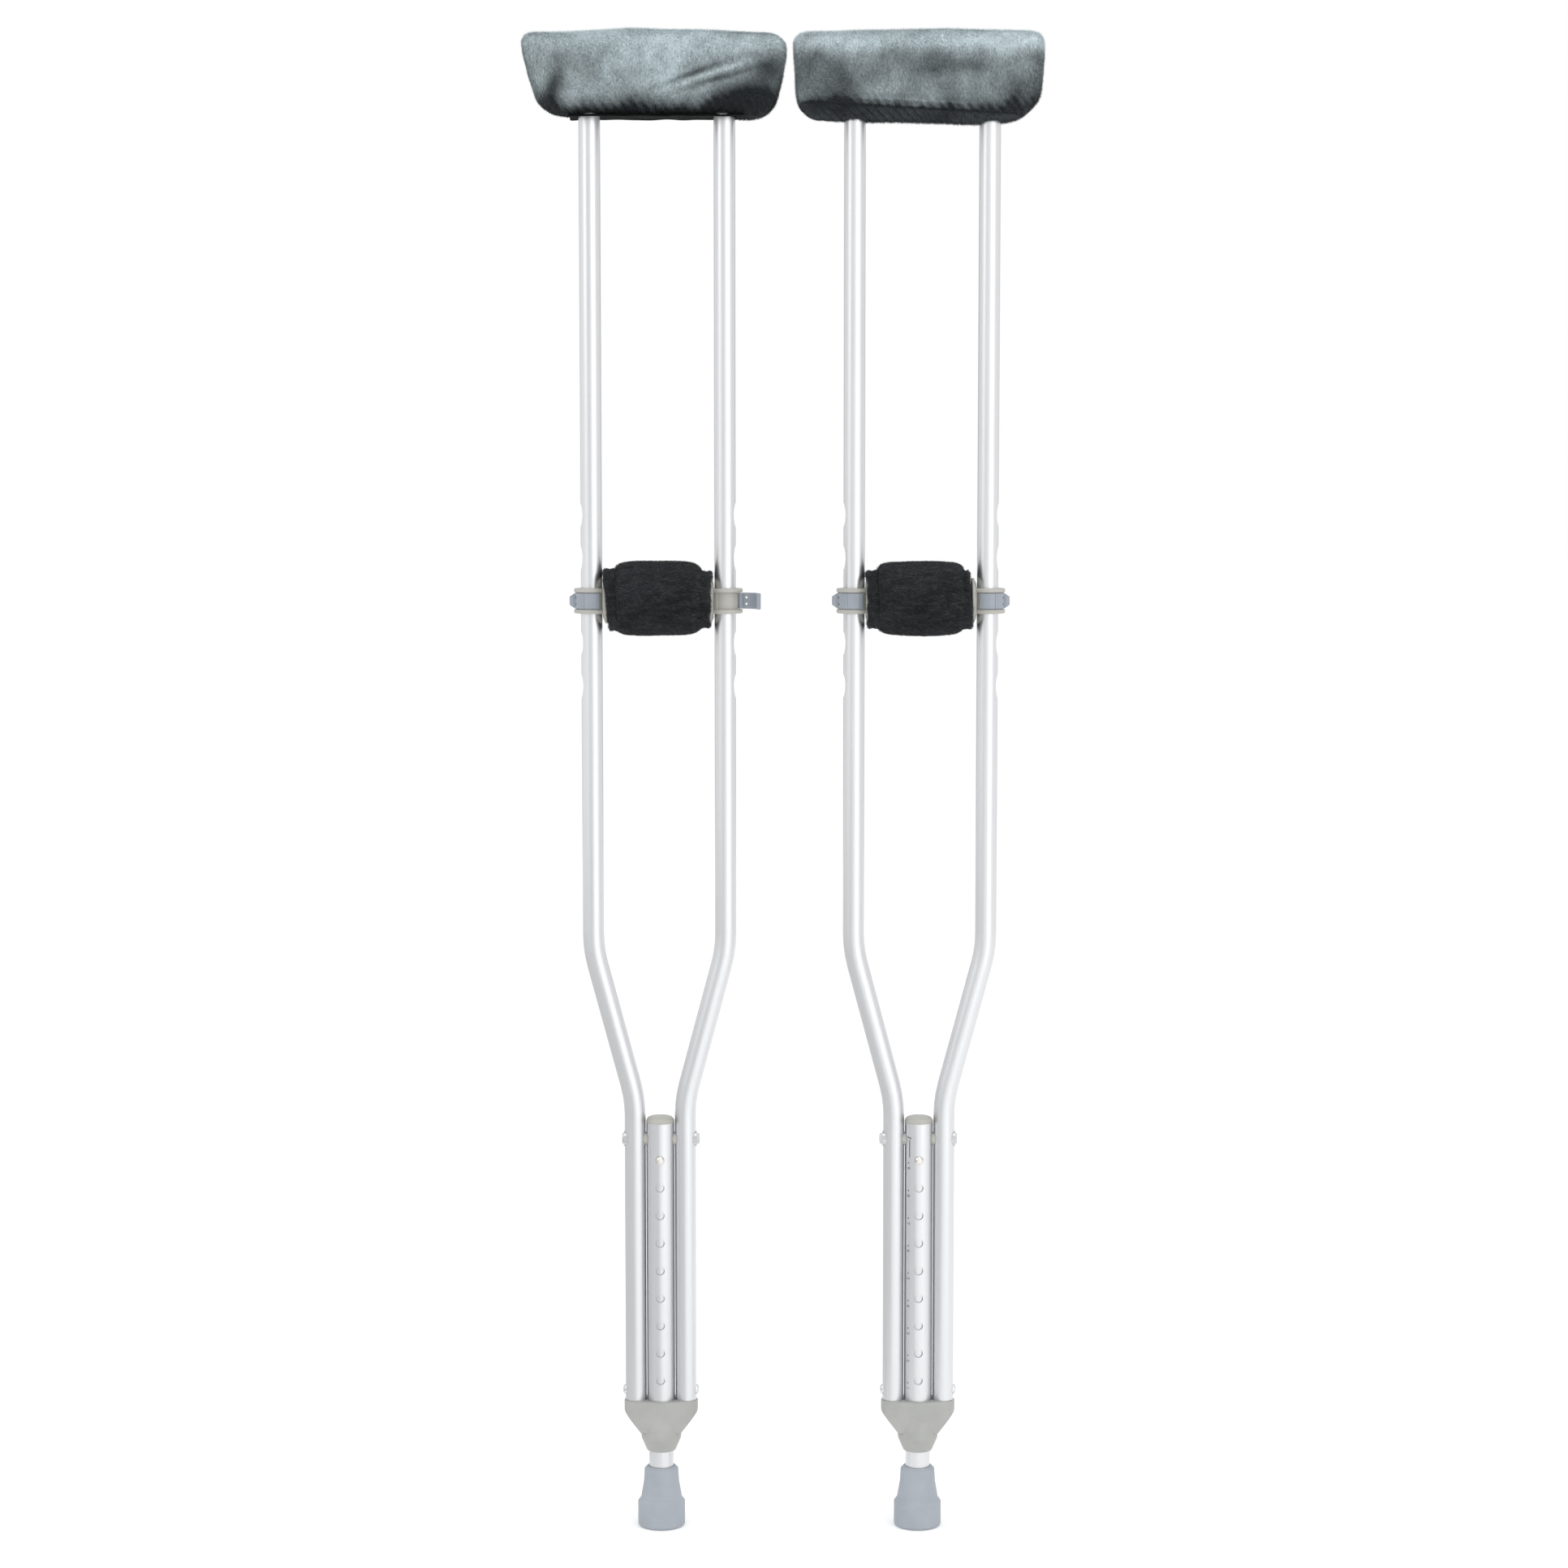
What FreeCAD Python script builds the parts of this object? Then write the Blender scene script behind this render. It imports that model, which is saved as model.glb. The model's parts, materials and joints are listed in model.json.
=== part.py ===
import FreeCAD, Part
import math
import os

from FreeCAD import Vector

# A pair of underarm crutches, standing upright side by side.
# Units are millimetres. +Z is up, the floor is z = 0, +X is to the right of someone facing the
# pair, and -Y is the front, where the snap buttons show. The origin is on the floor, midway
# between the two tips. Each crutch is drawn about its own axis (x = 0) and then moved into place,
# and the leg is drawn in its top hole, the shortest setting.

# ---- the pair -------------------------------------------------------------------------------
OVERALL_HEIGHT = 1345.0          # floor to the top of the underarm cushion
CRUTCH_GAP = 7.0                 # clear space between the two cushions

# ---- side rails: bent aluminium tube --------------------------------------------------------
RAIL_OD = 19.05
RAIL_WALL = 1.2
RAIL_SPACING = 119.0             # centre to centre, above the bends
BEND_RADIUS = 110.0              # of the tube's centre line
BEND_RISE = 137.0                # height between the two bends
BEND_ABOVE_TUBE = 21.0           # lower bend above the end of the centre tube
TUBE_GAP = 0.475                 # clear space between a rail and the centre tube
NOTCH_PITCH = 38.1
NOTCH_COUNT = 5
NOTCH_DEPTH = 1.9
NOTCH_RADIUS = 33.0

# ---- centre tube and the leg that slides in it ----------------------------------------------
CENTRE_OD = 25.4
CENTRE_WALL = 1.25
LEG_CLEARANCE = 0.35             # radial, leg in centre tube
LEG_WALL = 1.6
HOLE_PITCH = 25.4
HOLE_COUNT = 9
HOLE_DIAMETER = 7.8
FIRST_HOLE_ABOVE_YOKE = 19.9
BOLT_ABOVE_TOP_HOLE = 17.9
TUBE_ABOVE_BOLT = 15.0
LEG_BELOW_BOLT = 1.5             # clear space between the bolt and the leg's end
LEG_IN_TIP_Z = 12.0              # height of the leg's lower end
CAP_DOME = 5.5
CAP_ROUND = 4.4                  # rounding of the dome's edge
CAP_PLUG = 11.0
CAP_WALL = 2.0
CAP_FIT = 0.06                   # radial

# ---- snap buttons and their spring ----------------------------------------------------------
BUTTON_DIAMETER = 7.4
BUTTON_PROUD = 2.6               # dome above the centre tube
BUTTON_EDGE = 0.9                # straight side of the button above the centre tube
BUTTON_EDGE_ROUND = 0.5
BUTTON_CROWN_RADIUS = 1.6        # flat middle of the dome
BUTTON_CROWN_ROUND = 1.5
BUTTON_HOLE_CLEARANCE = 0.25     # radial, button in the leg's hole
SPRING_THICKNESS = 0.6
SPRING_WIDTH = 7.4
SPRING_ARM = 45.0
SPRING_WALL_GAP = 0.9            # strip's outer face to the leg's inner wall
SPRING_FOOT = 3.0                # half-width of the folded end
SPRING_FOLD_ROUND = 2.0
SPRING_KNEE_ROUND = 4.0

# ---- fasteners of the three-tube block ------------------------------------------------------
BOLT_DIAMETER = 6.0
BOLT_HEAD_DIAMETER = 9.6
BOLT_HEAD_HEIGHT = 1.4
BOLT_HEAD_ROUND = 1.0
BOLT_SOCKET_FLATS = 3.0
BOLT_SOCKET_DEPTH = 0.9
WASHER_DIAMETER = 14.0
WASHER_THICKNESS = 0.8           # from the rail's crest to the washer's outer face
NUT_FLATS = 9.0
NUT_HEIGHT = 2.4
BOLT_TAIL = 0.3
SPACER_DIAMETER = 12.0
RIVET_DIAMETER = 4.8
RIVET_HEAD_DIAMETER = 9.0
RIVET_HEAD_HEIGHT = 2.2
RIVET_HEAD_ROUND = 2.4
RIVET_HEAD_LAP = 1.2             # how far the head comes down round the tube
RIVET_ABOVE_YOKE = 9.0
RIVET_DEPTH = 5.0                # shank inside the yoke's spigot
HOLE_FIT = 0.05                  # radial, shanks in their holes

# ---- yoke: plastic bracket that ties the three tubes together --------------------------------
YOKE_BOTTOM = 70.0
YOKE_HEIGHT = 47.0
YOKE_BAND = 10.0                 # straight-sided top part
YOKE_RAIL_WALL = 1.3
YOKE_CENTRE_WALL = 2.5
YOKE_CUP_TOP = 88.0
YOKE_CUP_WALL = 5.5              # cup's outer face from the centre tube's
YOKE_CUP_SHOULDER = 6.0          # cup's straight side, below its top
YOKE_CUP_LAP = 3.0               # how far the cup runs up inside the taper
YOKE_CUP_ROUND = 9.0
YOKE_WAIST_ROUND = 3.0
YOKE_SIDE_ROUND = 6.0
YOKE_TOP_ROUND = 1.5
YOKE_LIP_WALL = 1.6
YOKE_LIP_ROUND = 1.0
YOKE_LEG_CLEARANCE = 0.3
SOCKET_DEPTH = 11.0
SOCKET_FIT = 0.05                # radial, tubes in the yoke and the saddle
SPIGOT_HEIGHT = 21.0             # above the yoke
SPIGOT_WALL = 3.0
SPIGOT_ROOT = 1.0                # spigot below the socket's floor
SPIGOT_FLOOR = 2.0               # solid foot of the spigot

# ---- rubber tip ------------------------------------------------------------------------------
TIP_HEIGHT = 55.0
TIP_BASE_WALL = 10.3             # base's outer face from the leg's
TIP_BASE_Z = 22.0                # top of the base's straight side
TIP_STEP = 3.5                   # height of the slope from the base in to the neck
TIP_WAIST_WALL = 7.6             # at the foot of the neck
TIP_NECK_Z = 41.0
TIP_NECK_WALL = 4.9              # where the neck stops narrowing
TIP_COLLAR_WALL = 4.3
TIP_RIM_DROP = 2.6               # height of the slope at the top rim
TIP_RIM_WALL = 1.6
TIP_SOLE_EDGE = 2.2              # rounding of the sole's edge
TIP_EDGE = 1.2                   # rounding of the other edges
TIP_NECK_ROUND = 25.0
TIP_GROOVES = 3
TIP_GROOVE_DEPTH = 1.6
TIP_GROOVE_WIDTH = 1.8
TIP_LAND = 2.4
TIP_WASHER_THICKNESS = 1.6

# ---- handgrip --------------------------------------------------------------------------------
GRIP_HEIGHT = 845.0
GRIP_COVER_DIAMETER = 67.6
GRIP_END_DIAMETER = 51.0
GRIP_END_LENGTH = 13.0
GRIP_COVER_THICKNESS = 1.8
GRIP_SLOPE = 4.0                 # length over which the cover changes size
GRIP_SHOULDER_ROUND = 6.0
GRIP_NECK_ROUND = 5.0
GRIP_HEM_ROUND = 4.0
GRIP_HEM_DROP = 1.5              # how far the hem's edge turns in
GRIP_HEM_EDGE = 1.0
GRIP_RAIL_GAP = 0.5              # cover to the left rail
GRIP_DISC_GAP = 0.3              # cover to a disc
CORE_DIAMETER = 26.0
CORE_WALL = 2.9
BOSS_LENGTH = 14.0
BOSS_WALL = 2.5
BOSS_LAP = 0.1                   # disc behind the boss's root
DISC_DIAMETER = 40.6
DISC_THICKNESS = 4.2
DISC_EDGE = 2.2
DISC_EDGE_ROUND = 0.8
DISC_HUB_DROP = 5.0              # radius lost on the slope to the hub
DISC_HUB_ROUND = 3.0
DISC_LAP = 0.5                   # clamp's neck inside the disc
DISC_RAIL_GAP = 0.7              # disc to rail

# ---- clamps and latches at the two ends of the grip -------------------------------------------
CLAMP_CLEARANCE = 0.3            # radial, clamp on rail
BAND_WALL = 2.475
FLANGE_PIN_WALL = 1.05           # flange outside the hinge pin
FLANGE_THICKNESS = 3.75
FLANGE_ROUND = 1.3
FLANGE_GAP = 14.9                # between the two flanges
LATCH_HEIGHT = 14.3
LATCH_THICKNESS = 2.45
LATCH_ROUND = 0.8
LATCH_ARM_START = 8.0            # degrees from the hinge
LATCH_BAND_GAP = 0.35            # latch arm to clamp band
LATCH_WRAP = 119.0               # degrees from the hinge, round the front, to the arm's end
LATCH_OPEN_ANGLE = 102.0
KNUCKLE_RADIUS = 3.2
KNUCKLE_HEIGHT = 13.2
KNUCKLE_GAP = 0.375              # knuckle to the clamp's bore
HEEL_REACH = 3.2
HEEL_CHAMFER = 3.0
HEEL_SETBACK = 0.5               # where the chamfer starts, inside the flange's edge
HEEL_BEND_ROUND = 1.5
HEEL_EDGE_ROUND = 1.0
WINDOW_GAP = 1.0                 # knuckle to the side of its window
WINDOW_SWING_GAP = 0.8           # heel to the window when the latch is open
PIN_DIAMETER = 2.5
PIN_FIT = 0.05                   # radial, pin in the latch
CATCH_GAP = 2.0                  # degrees between the arm's end and the catch
CATCH_HEIGHT = 1.7
CATCH_START = 162.0              # degrees from the hinge, round the back
LATCH_HOLE_DIAMETER = 2.2
LATCH_HOLE_SPACING = 5.8
LATCH_HOLE_ANGLE = 24.0          # degrees from the hinge
HOOK_LIP = 0.9
HOOK_SPAN = 7.0                  # degrees
RIDGE_ANGLE = 58.0               # degrees from the hinge to the thumb ridge
RIDGE_SPAN = 8.0

# ---- underarm cushion --------------------------------------------------------------------------
CUSHION_HEIGHT = 80.0
CUSHION_DEPTH = 68.0
CUSHION_OVERHANG = 54.0          # past each rail's centre line, at the top
CUSHION_TAPER = 21.0             # how much shorter each end is at the bottom
CUSHION_DIP = 5.0
CUSHION_DIP_ROUND = 300.0
CUSHION_DIP_END = 40.0           # from the cushion's end to where the dip starts
CUSHION_DIP_END_ROUND = 60.0
CUSHION_CORNER_ROUND = 22.0      # lower corners, seen from the front
CUSHION_END_DROP = 34.0          # cushion's widest height, below the top
CUSHION_END_ROUND = 30.0
CUSHION_END_LEAN = 3.0
CUSHION_TOP_ROUND = 20.0
CUSHION_FOOT_TUCK = 8.0          # how much shallower each face is at the bottom
CUSHION_FOOT_ROUND = 10.0
CUSHION_BELLY = 26.0             # height of the deepest part
CUSHION_TOP_TUCK = 2.0
COVER_THICKNESS = 2.5
LINING_OVERHANG = 32.0           # past each rail's centre line
LINING_DEPTH = 44.0
LINING_CORNER = 8.0
LINING_HOLE_GAP = 0.3
SADDLE_OVERHANG = 34.0           # past each rail's centre line
SADDLE_DEPTH = 36.0
SADDLE_THICKNESS = 18.0
SADDLE_BASE = 22.0               # crosspiece above the cushion's bottom
SADDLE_TIP = 24.0                # length of each upturned end
SADDLE_TIP_RISE = 6.0
SADDLE_TIP_ROUND = 5.0
SADDLE_BEND_ROUND = 12.0
SADDLE_HORN = 3.0                # ends above the crosspiece
SADDLE_HORN_ROUND = 6.0
SADDLE_SAG = 4.0                 # middle below the crosspiece's top
SADDLE_SAG_ROUND = 300.0
SADDLE_SOCKET_LAP = 1.0          # socket inside the crosspiece
SOCKET_WALL = 3.0
SADDLE_SOCKET_LENGTH = 15.0
RAIL_IN_SADDLE = 30.0            # rail's end above the cushion's bottom
SADDLE_PIN_DIAMETER = 4.8
SADDLE_PIN_HEIGHT = 13.0         # above the cushion's bottom
SADDLE_PIN_PROUD = 1.2
CUT_MARGIN = 1.0                 # how far a cutting shape runs past a face

# ---- worked out from the sizes above -----------------------------------------------------------
RAIL_R = RAIL_OD / 2
RAIL_BORE_R = RAIL_R - RAIL_WALL
CENTRE_R = CENTRE_OD / 2
CENTRE_BORE_R = CENTRE_R - CENTRE_WALL
LEG_R = CENTRE_BORE_R - LEG_CLEARANCE
LEG_BORE_R = LEG_R - LEG_WALL
YOKE_CUP_R = CENTRE_R + YOKE_CUP_WALL
RAIL_X = RAIL_SPACING / 2
RAIL_FOOT_X = CENTRE_R + TUBE_GAP + RAIL_R

YOKE_TOP = YOKE_BOTTOM + YOKE_HEIGHT
FIRST_HOLE_Z = YOKE_TOP + FIRST_HOLE_ABOVE_YOKE
TOP_HOLE_Z = FIRST_HOLE_Z + HOLE_PITCH * (HOLE_COUNT - 1)
BOLT_Z = TOP_HOLE_Z + BOLT_ABOVE_TOP_HOLE
TUBE_TOP = BOLT_Z + TUBE_ABOVE_BOLT
LEG_TOP = BOLT_Z - BOLT_DIAMETER / 2 - LEG_BELOW_BOLT
SOCKET_Z = YOKE_TOP - SOCKET_DEPTH
LOWER_BEND_Z = TUBE_TOP + BEND_ABOVE_TUBE
UPPER_BEND_Z = LOWER_BEND_Z + BEND_RISE
RIVET_Z = YOKE_TOP + RIVET_ABOVE_YOKE

CUSHION_BOTTOM = OVERALL_HEIGHT - CUSHION_HEIGHT
RAIL_TOP = CUSHION_BOTTOM + RAIL_IN_SADDLE
CUSHION_HALF = RAIL_X + CUSHION_OVERHANG
AXIS_X = CUSHION_HALF + CRUTCH_GAP / 2

CLAMP_BORE_R = RAIL_R + CLAMP_CLEARANCE
BAND_R = CLAMP_BORE_R + BAND_WALL
HINGE_X = CLAMP_BORE_R + KNUCKLE_GAP + KNUCKLE_RADIUS
FLANGE_R = HINGE_X + PIN_DIAMETER / 2 + FLANGE_PIN_WALL
LATCH_IN_R = BAND_R + LATCH_BAND_GAP
LATCH_OUT_R = LATCH_IN_R + LATCH_THICKNESS
CLAMP_HALF = FLANGE_GAP / 2 + FLANGE_THICKNESS
DISC_OUTER_X = RAIL_X - RAIL_R - DISC_RAIL_GAP
DISC_INNER_X = DISC_OUTER_X - DISC_THICKNESS

UP = Vector(0, 0, 1)
ACROSS = Vector(1, 0, 0)
DEEP = Vector(0, 1, 0)


# ---- shapes used more than once ----------------------------------------------------------------
def bar(radius, start, end):
    """A round bar from one point to another."""
    along = end.sub(start)
    return Part.makeCylinder(radius, along.Length, start, along)


def upright(radius, x, bottom, top, y=0.0):
    """A round bar that stands on (x, y)."""
    return bar(radius, Vector(x, y, bottom), Vector(x, y, top))


def block(x, y, z):
    """A box from its (low, high) limits along each axis."""
    return Part.makeBox(x[1] - x[0], y[1] - y[0], z[1] - z[0], Vector(x[0], y[0], z[0]))


def on_front(a, b):
    """A point of a front outline: a is x, b is z."""
    return Vector(a, 0, b)


def on_side(a, b):
    """A point of a side outline: a is y, b is z."""
    return Vector(0, a, b)


def outline(corners, place):
    """A closed wire through corners (a, b, radius), each rounded by its own radius."""
    points = [place(a, b) for a, b, _ in corners]
    edges = []
    runs = []
    for i, (_, _, radius) in enumerate(corners):
        corner = points[i]
        back = points[i - 1].sub(corner).normalize()
        ahead = points[(i + 1) % len(points)].sub(corner).normalize()
        if radius <= 0:
            runs.append((corner, corner))
            continue
        half = back.getAngle(ahead) / 2
        reach = radius / math.tan(half)
        middle = back.add(ahead).normalize().multiply(radius / math.sin(half) - radius)
        start = corner.add(Vector(back).multiply(reach))
        end = corner.add(Vector(ahead).multiply(reach))
        edges.append(Part.Arc(start, corner.add(middle), end).toShape())
        runs.append((start, end))
    for i, (start, _) in enumerate(runs):
        last = runs[i - 1][1]
        if last.distanceToPoint(start) > 1e-6:
            edges.append(Part.LineSegment(last, start).toShape())
    return Part.Wire(Part.__sortEdges__(edges))


def turned(corners, base, axis, place):
    """The outline of (a, b, radius) corners turned a full circle about an axis."""
    return Part.Face(outline(corners, place)).revolve(base, axis, 360)


def swept(radius, corners):
    """A round bar along straight runs joined by tangent arcs of (x, z, bend radius) corners."""
    points = [on_front(x, z) for x, z, _ in corners]
    edges = []
    last = points[0]
    for before, corner, after, spec in zip(points, points[1:], points[2:], corners[1:]):
        back = before.sub(corner).normalize()
        ahead = after.sub(corner).normalize()
        half = back.getAngle(ahead) / 2
        reach = spec[2] / math.tan(half)
        middle = back.add(ahead).normalize().multiply(spec[2] / math.sin(half) - spec[2])
        start = corner.add(back.multiply(reach))
        end = corner.add(ahead.multiply(reach))
        edges.append(Part.LineSegment(last, start).toShape())
        edges.append(Part.Arc(start, corner.add(middle), end).toShape())
        last = end
    edges.append(Part.LineSegment(last, points[-1]).toShape())
    path = Part.Wire(edges)
    direction = points[1].sub(points[0])
    profile = Part.Wire([Part.Circle(points[0], direction, radius).toShape()])
    return path.makePipeShell([profile], True, False)


def sector(inner, outer, start, end, bottom, top, rounding=0.0):
    """Part of a ring about the Z axis, between two angles in degrees, its outer edges rounded."""
    section = Part.Face(outline([
        (inner, bottom, 0), (outer, bottom, rounding), (outer, top, rounding), (inner, top, 0)], on_front))
    ring = section.revolve(Vector(), UP, end - start)
    ring.rotate(Vector(), UP, start)
    return ring


def joined(shapes):
    """Several solids that touch, as one."""
    return shapes[0].multiFuse(shapes[1:]).removeSplitter()


def flipped(shape):
    """The mirror image in the x = 0 plane."""
    return shape.mirror(Vector(), ACROSS)


# ---- the frame ---------------------------------------------------------------------------------
def rail_bar(radius):
    """A solid bar along the rail's centre line, on the +X side."""
    return swept(radius, [
        (RAIL_X, RAIL_TOP, 0),
        (RAIL_X, UPPER_BEND_Z, BEND_RADIUS),
        (RAIL_FOOT_X, LOWER_BEND_Z, BEND_RADIUS),
        (RAIL_FOOT_X, SOCKET_Z, 0),
    ])


def notches(extra):
    """The round dies that press the rail's outer side in, grown by a wall's thickness."""
    centre_x = RAIL_X + RAIL_R + NOTCH_RADIUS - NOTCH_DEPTH
    dies = []
    for i in range(NOTCH_COUNT):
        z = GRIP_HEIGHT + (i - (NOTCH_COUNT - 1) / 2) * NOTCH_PITCH
        dies.append(bar(NOTCH_RADIUS + extra, Vector(centre_x, -RAIL_OD, z), Vector(centre_x, RAIL_OD, z)))
    return dies


def rail():
    """The tube, notched on its outer side, with the holes for bolt, rivet and saddle pin."""
    outside = rail_bar(RAIL_R).cut(notches(0))
    inside = rail_bar(RAIL_BORE_R).cut(notches(RAIL_WALL))
    holes = [
        bar(BOLT_DIAMETER / 2 + HOLE_FIT, Vector(0, 0, BOLT_Z), Vector(2 * RAIL_X, 0, BOLT_Z)),
        bar(RIVET_DIAMETER / 2 + HOLE_FIT, Vector(RAIL_FOOT_X, 0, RIVET_Z), Vector(2 * RAIL_X, 0, RIVET_Z)),
        saddle_pin_bar(HOLE_FIT),
    ]
    return outside.cut([inside] + holes)


def centre_tube():
    """The fixed tube: button holes front and back, and a cross hole for the bolt."""
    tube = upright(CENTRE_R, 0, SOCKET_Z, TUBE_TOP)
    holes = [bar(BOLT_DIAMETER / 2 + HOLE_FIT, Vector(-CENTRE_OD, 0, BOLT_Z), Vector(CENTRE_OD, 0, BOLT_Z))]
    for i in range(HOLE_COUNT):
        z = FIRST_HOLE_Z + i * HOLE_PITCH
        holes.append(bar(HOLE_DIAMETER / 2, Vector(0, -CENTRE_OD, z), Vector(0, CENTRE_OD, z)))
    return tube.cut([upright(CENTRE_BORE_R, 0, SOCKET_Z, TUBE_TOP)] + holes)


def tube_cap():
    """The domed plug in the top of the centre tube."""
    plug_r = CENTRE_BORE_R - CAP_FIT
    hollow_r = plug_r - CAP_WALL
    corners = [
        (0, TUBE_TOP, 0),
        (hollow_r, TUBE_TOP, 0),
        (hollow_r, TUBE_TOP - CAP_PLUG, 0),
        (plug_r, TUBE_TOP - CAP_PLUG, 0),
        (plug_r, TUBE_TOP, 0),
        (CENTRE_R, TUBE_TOP, 0),
        (CENTRE_R, TUBE_TOP + CAP_DOME, CAP_ROUND),
        (0, TUBE_TOP + CAP_DOME, 0),
    ]
    return turned(corners, Vector(), UP, on_front)


def yoke_plan(grow):
    """Three merged rounds: the yoke's outline from above, as a prism of full height."""
    centre_r = CENTRE_R + YOKE_CENTRE_WALL + grow
    rail_r = RAIL_R + YOKE_RAIL_WALL + grow
    lean = math.asin((centre_r - rail_r) / RAIL_FOOT_X)
    pieces = [upright(centre_r, 0, YOKE_BOTTOM, YOKE_TOP)]
    for side in (-1, 1):
        pieces.append(upright(rail_r, side * RAIL_FOOT_X, YOKE_BOTTOM, YOKE_TOP))
        web = [
            Vector(side * centre_r * math.sin(lean), -centre_r * math.cos(lean), YOKE_BOTTOM),
            Vector(side * (RAIL_FOOT_X + rail_r * math.sin(lean)), -rail_r * math.cos(lean), YOKE_BOTTOM),
            Vector(side * (RAIL_FOOT_X + rail_r * math.sin(lean)), rail_r * math.cos(lean), YOKE_BOTTOM),
            Vector(side * centre_r * math.sin(lean), centre_r * math.cos(lean), YOKE_BOTTOM),
        ]
        pieces.append(Part.Face(Part.makePolygon(web + web[:1])).extrude(Vector(0, 0, YOKE_HEIGHT)))
    return joined(pieces)


def yoke():
    """Band round the three tube ends, tapering into a round cup that guides the leg."""
    half = RAIL_FOOT_X + RAIL_R + YOKE_RAIL_WALL
    band_z = YOKE_TOP - YOKE_BAND
    front = outline([
        (-half, YOKE_TOP, YOKE_TOP_ROUND), (half, YOKE_TOP, YOKE_TOP_ROUND), (half, band_z, YOKE_SIDE_ROUND),
        (YOKE_CUP_R, YOKE_CUP_TOP, YOKE_WAIST_ROUND), (YOKE_CUP_R, YOKE_BOTTOM, 0),
        (-YOKE_CUP_R, YOKE_BOTTOM, 0), (-YOKE_CUP_R, YOKE_CUP_TOP, YOKE_WAIST_ROUND),
        (-half, band_z, YOKE_SIDE_ROUND)], on_front)
    front_prism = Part.Face(front).extrude(Vector(0, 2 * CENTRE_OD, 0))
    front_prism.translate(Vector(0, -CENTRE_OD, 0))
    under = block((-2 * half, 2 * half), (-2 * half, 2 * half), (YOKE_BOTTOM - CUT_MARGIN, YOKE_CUP_TOP))
    taper = yoke_plan(0).common(front_prism).cut(under)
    lip_r = LEG_R + YOKE_LEG_CLEARANCE + YOKE_LIP_WALL
    cup = turned([
        (0, YOKE_BOTTOM, 0), (lip_r, YOKE_BOTTOM, YOKE_LIP_ROUND),
        (YOKE_CUP_R, YOKE_CUP_TOP - YOKE_CUP_SHOULDER, YOKE_CUP_ROUND),
        (YOKE_CUP_R, YOKE_CUP_TOP + YOKE_CUP_LAP, YOKE_WAIST_ROUND),
        (CENTRE_R, band_z, 0), (0, band_z, 0),
    ], Vector(), UP, on_front)
    cuts = [
        upright(LEG_R + YOKE_LEG_CLEARANCE, 0, YOKE_BOTTOM - CUT_MARGIN, YOKE_TOP + CUT_MARGIN),
        upright(CENTRE_R + SOCKET_FIT, 0, SOCKET_Z, YOKE_TOP + CUT_MARGIN),
    ]
    spigot_r = RAIL_BORE_R - SOCKET_FIT
    spigot_top = YOKE_TOP + SPIGOT_HEIGHT
    spigots = []
    hollows = []
    for side in (-1, 1):
        x = side * RAIL_FOOT_X
        cuts.append(upright(RAIL_R + SOCKET_FIT, x, SOCKET_Z, YOKE_TOP + CUT_MARGIN))
        spigots.append(upright(spigot_r, x, SOCKET_Z - SPIGOT_ROOT, spigot_top))
        hollows.append(upright(spigot_r - SPIGOT_WALL, x, SOCKET_Z + SPIGOT_FLOOR, spigot_top))
        hollows.append(bar(RIVET_DIAMETER / 2, Vector(side * rivet_root(), 0, RIVET_Z),
                           Vector(side * 2 * RAIL_X, 0, RIVET_Z)))
    return joined([joined([taper, cup]).cut(cuts)] + spigots).cut(hollows)


def rivet_root():
    """Distance from the axis to the inner end of a rivet's shank."""
    return RAIL_FOOT_X + RAIL_BORE_R - RIVET_DEPTH


def bolt():
    """The cross bolt, its rounded head on the +X side."""
    crest = RAIL_FOOT_X + RAIL_R + WASHER_THICKNESS
    tail = -crest - NUT_HEIGHT - BOLT_TAIL
    shank = bar(BOLT_DIAMETER / 2, Vector(tail, 0, BOLT_Z), Vector(crest, 0, BOLT_Z))
    face = crest + BOLT_HEAD_HEIGHT
    head_z = BOLT_Z + BOLT_HEAD_DIAMETER / 2
    head = turned([
        (crest, BOLT_Z, 0), (crest, head_z, 0), (face, head_z, BOLT_HEAD_ROUND), (face, BOLT_Z, 0),
    ], Vector(0, 0, BOLT_Z), ACROSS, on_front)
    socket = Part.Face(hexagon(BOLT_SOCKET_FLATS, face - BOLT_SOCKET_DEPTH))
    return joined([shank, head]).cut(socket.extrude(Vector(BOLT_HEAD_HEIGHT, 0, 0)))


def hexagon(flats, x):
    """A hexagon across the bolt's axis, flats apart, at x."""
    radius = flats / math.sqrt(3)
    corners = [
        Vector(x, radius * math.cos(math.radians(60 * i)), BOLT_Z + radius * math.sin(math.radians(60 * i)))
        for i in range(7)
    ]
    return Part.makePolygon(corners)


def nut():
    """The nut on the -X side."""
    crest = -(RAIL_FOOT_X + RAIL_R + WASHER_THICKNESS)
    body = Part.Face(hexagon(NUT_FLATS, crest)).extrude(Vector(-NUT_HEIGHT, 0, 0))
    return body.cut(bar(BOLT_DIAMETER / 2, Vector(crest - 2 * NUT_HEIGHT, 0, BOLT_Z), Vector(0, 0, BOLT_Z)))


def washers():
    """Two washers whose inner faces follow the round rails."""
    crest = RAIL_FOOT_X + RAIL_R + WASHER_THICKNESS
    pieces = []
    for side in (-1, 1):
        start = Vector(side * (RAIL_FOOT_X + RAIL_R / 2), 0, BOLT_Z)
        blank = bar(WASHER_DIAMETER / 2, start, Vector(side * crest, 0, BOLT_Z))
        tube = upright(RAIL_R, side * RAIL_FOOT_X, BOLT_Z - WASHER_DIAMETER, BOLT_Z + WASHER_DIAMETER)
        pieces.append(blank.cut([tube, bolt_hole()]))
    return Part.Compound(pieces)


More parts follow.
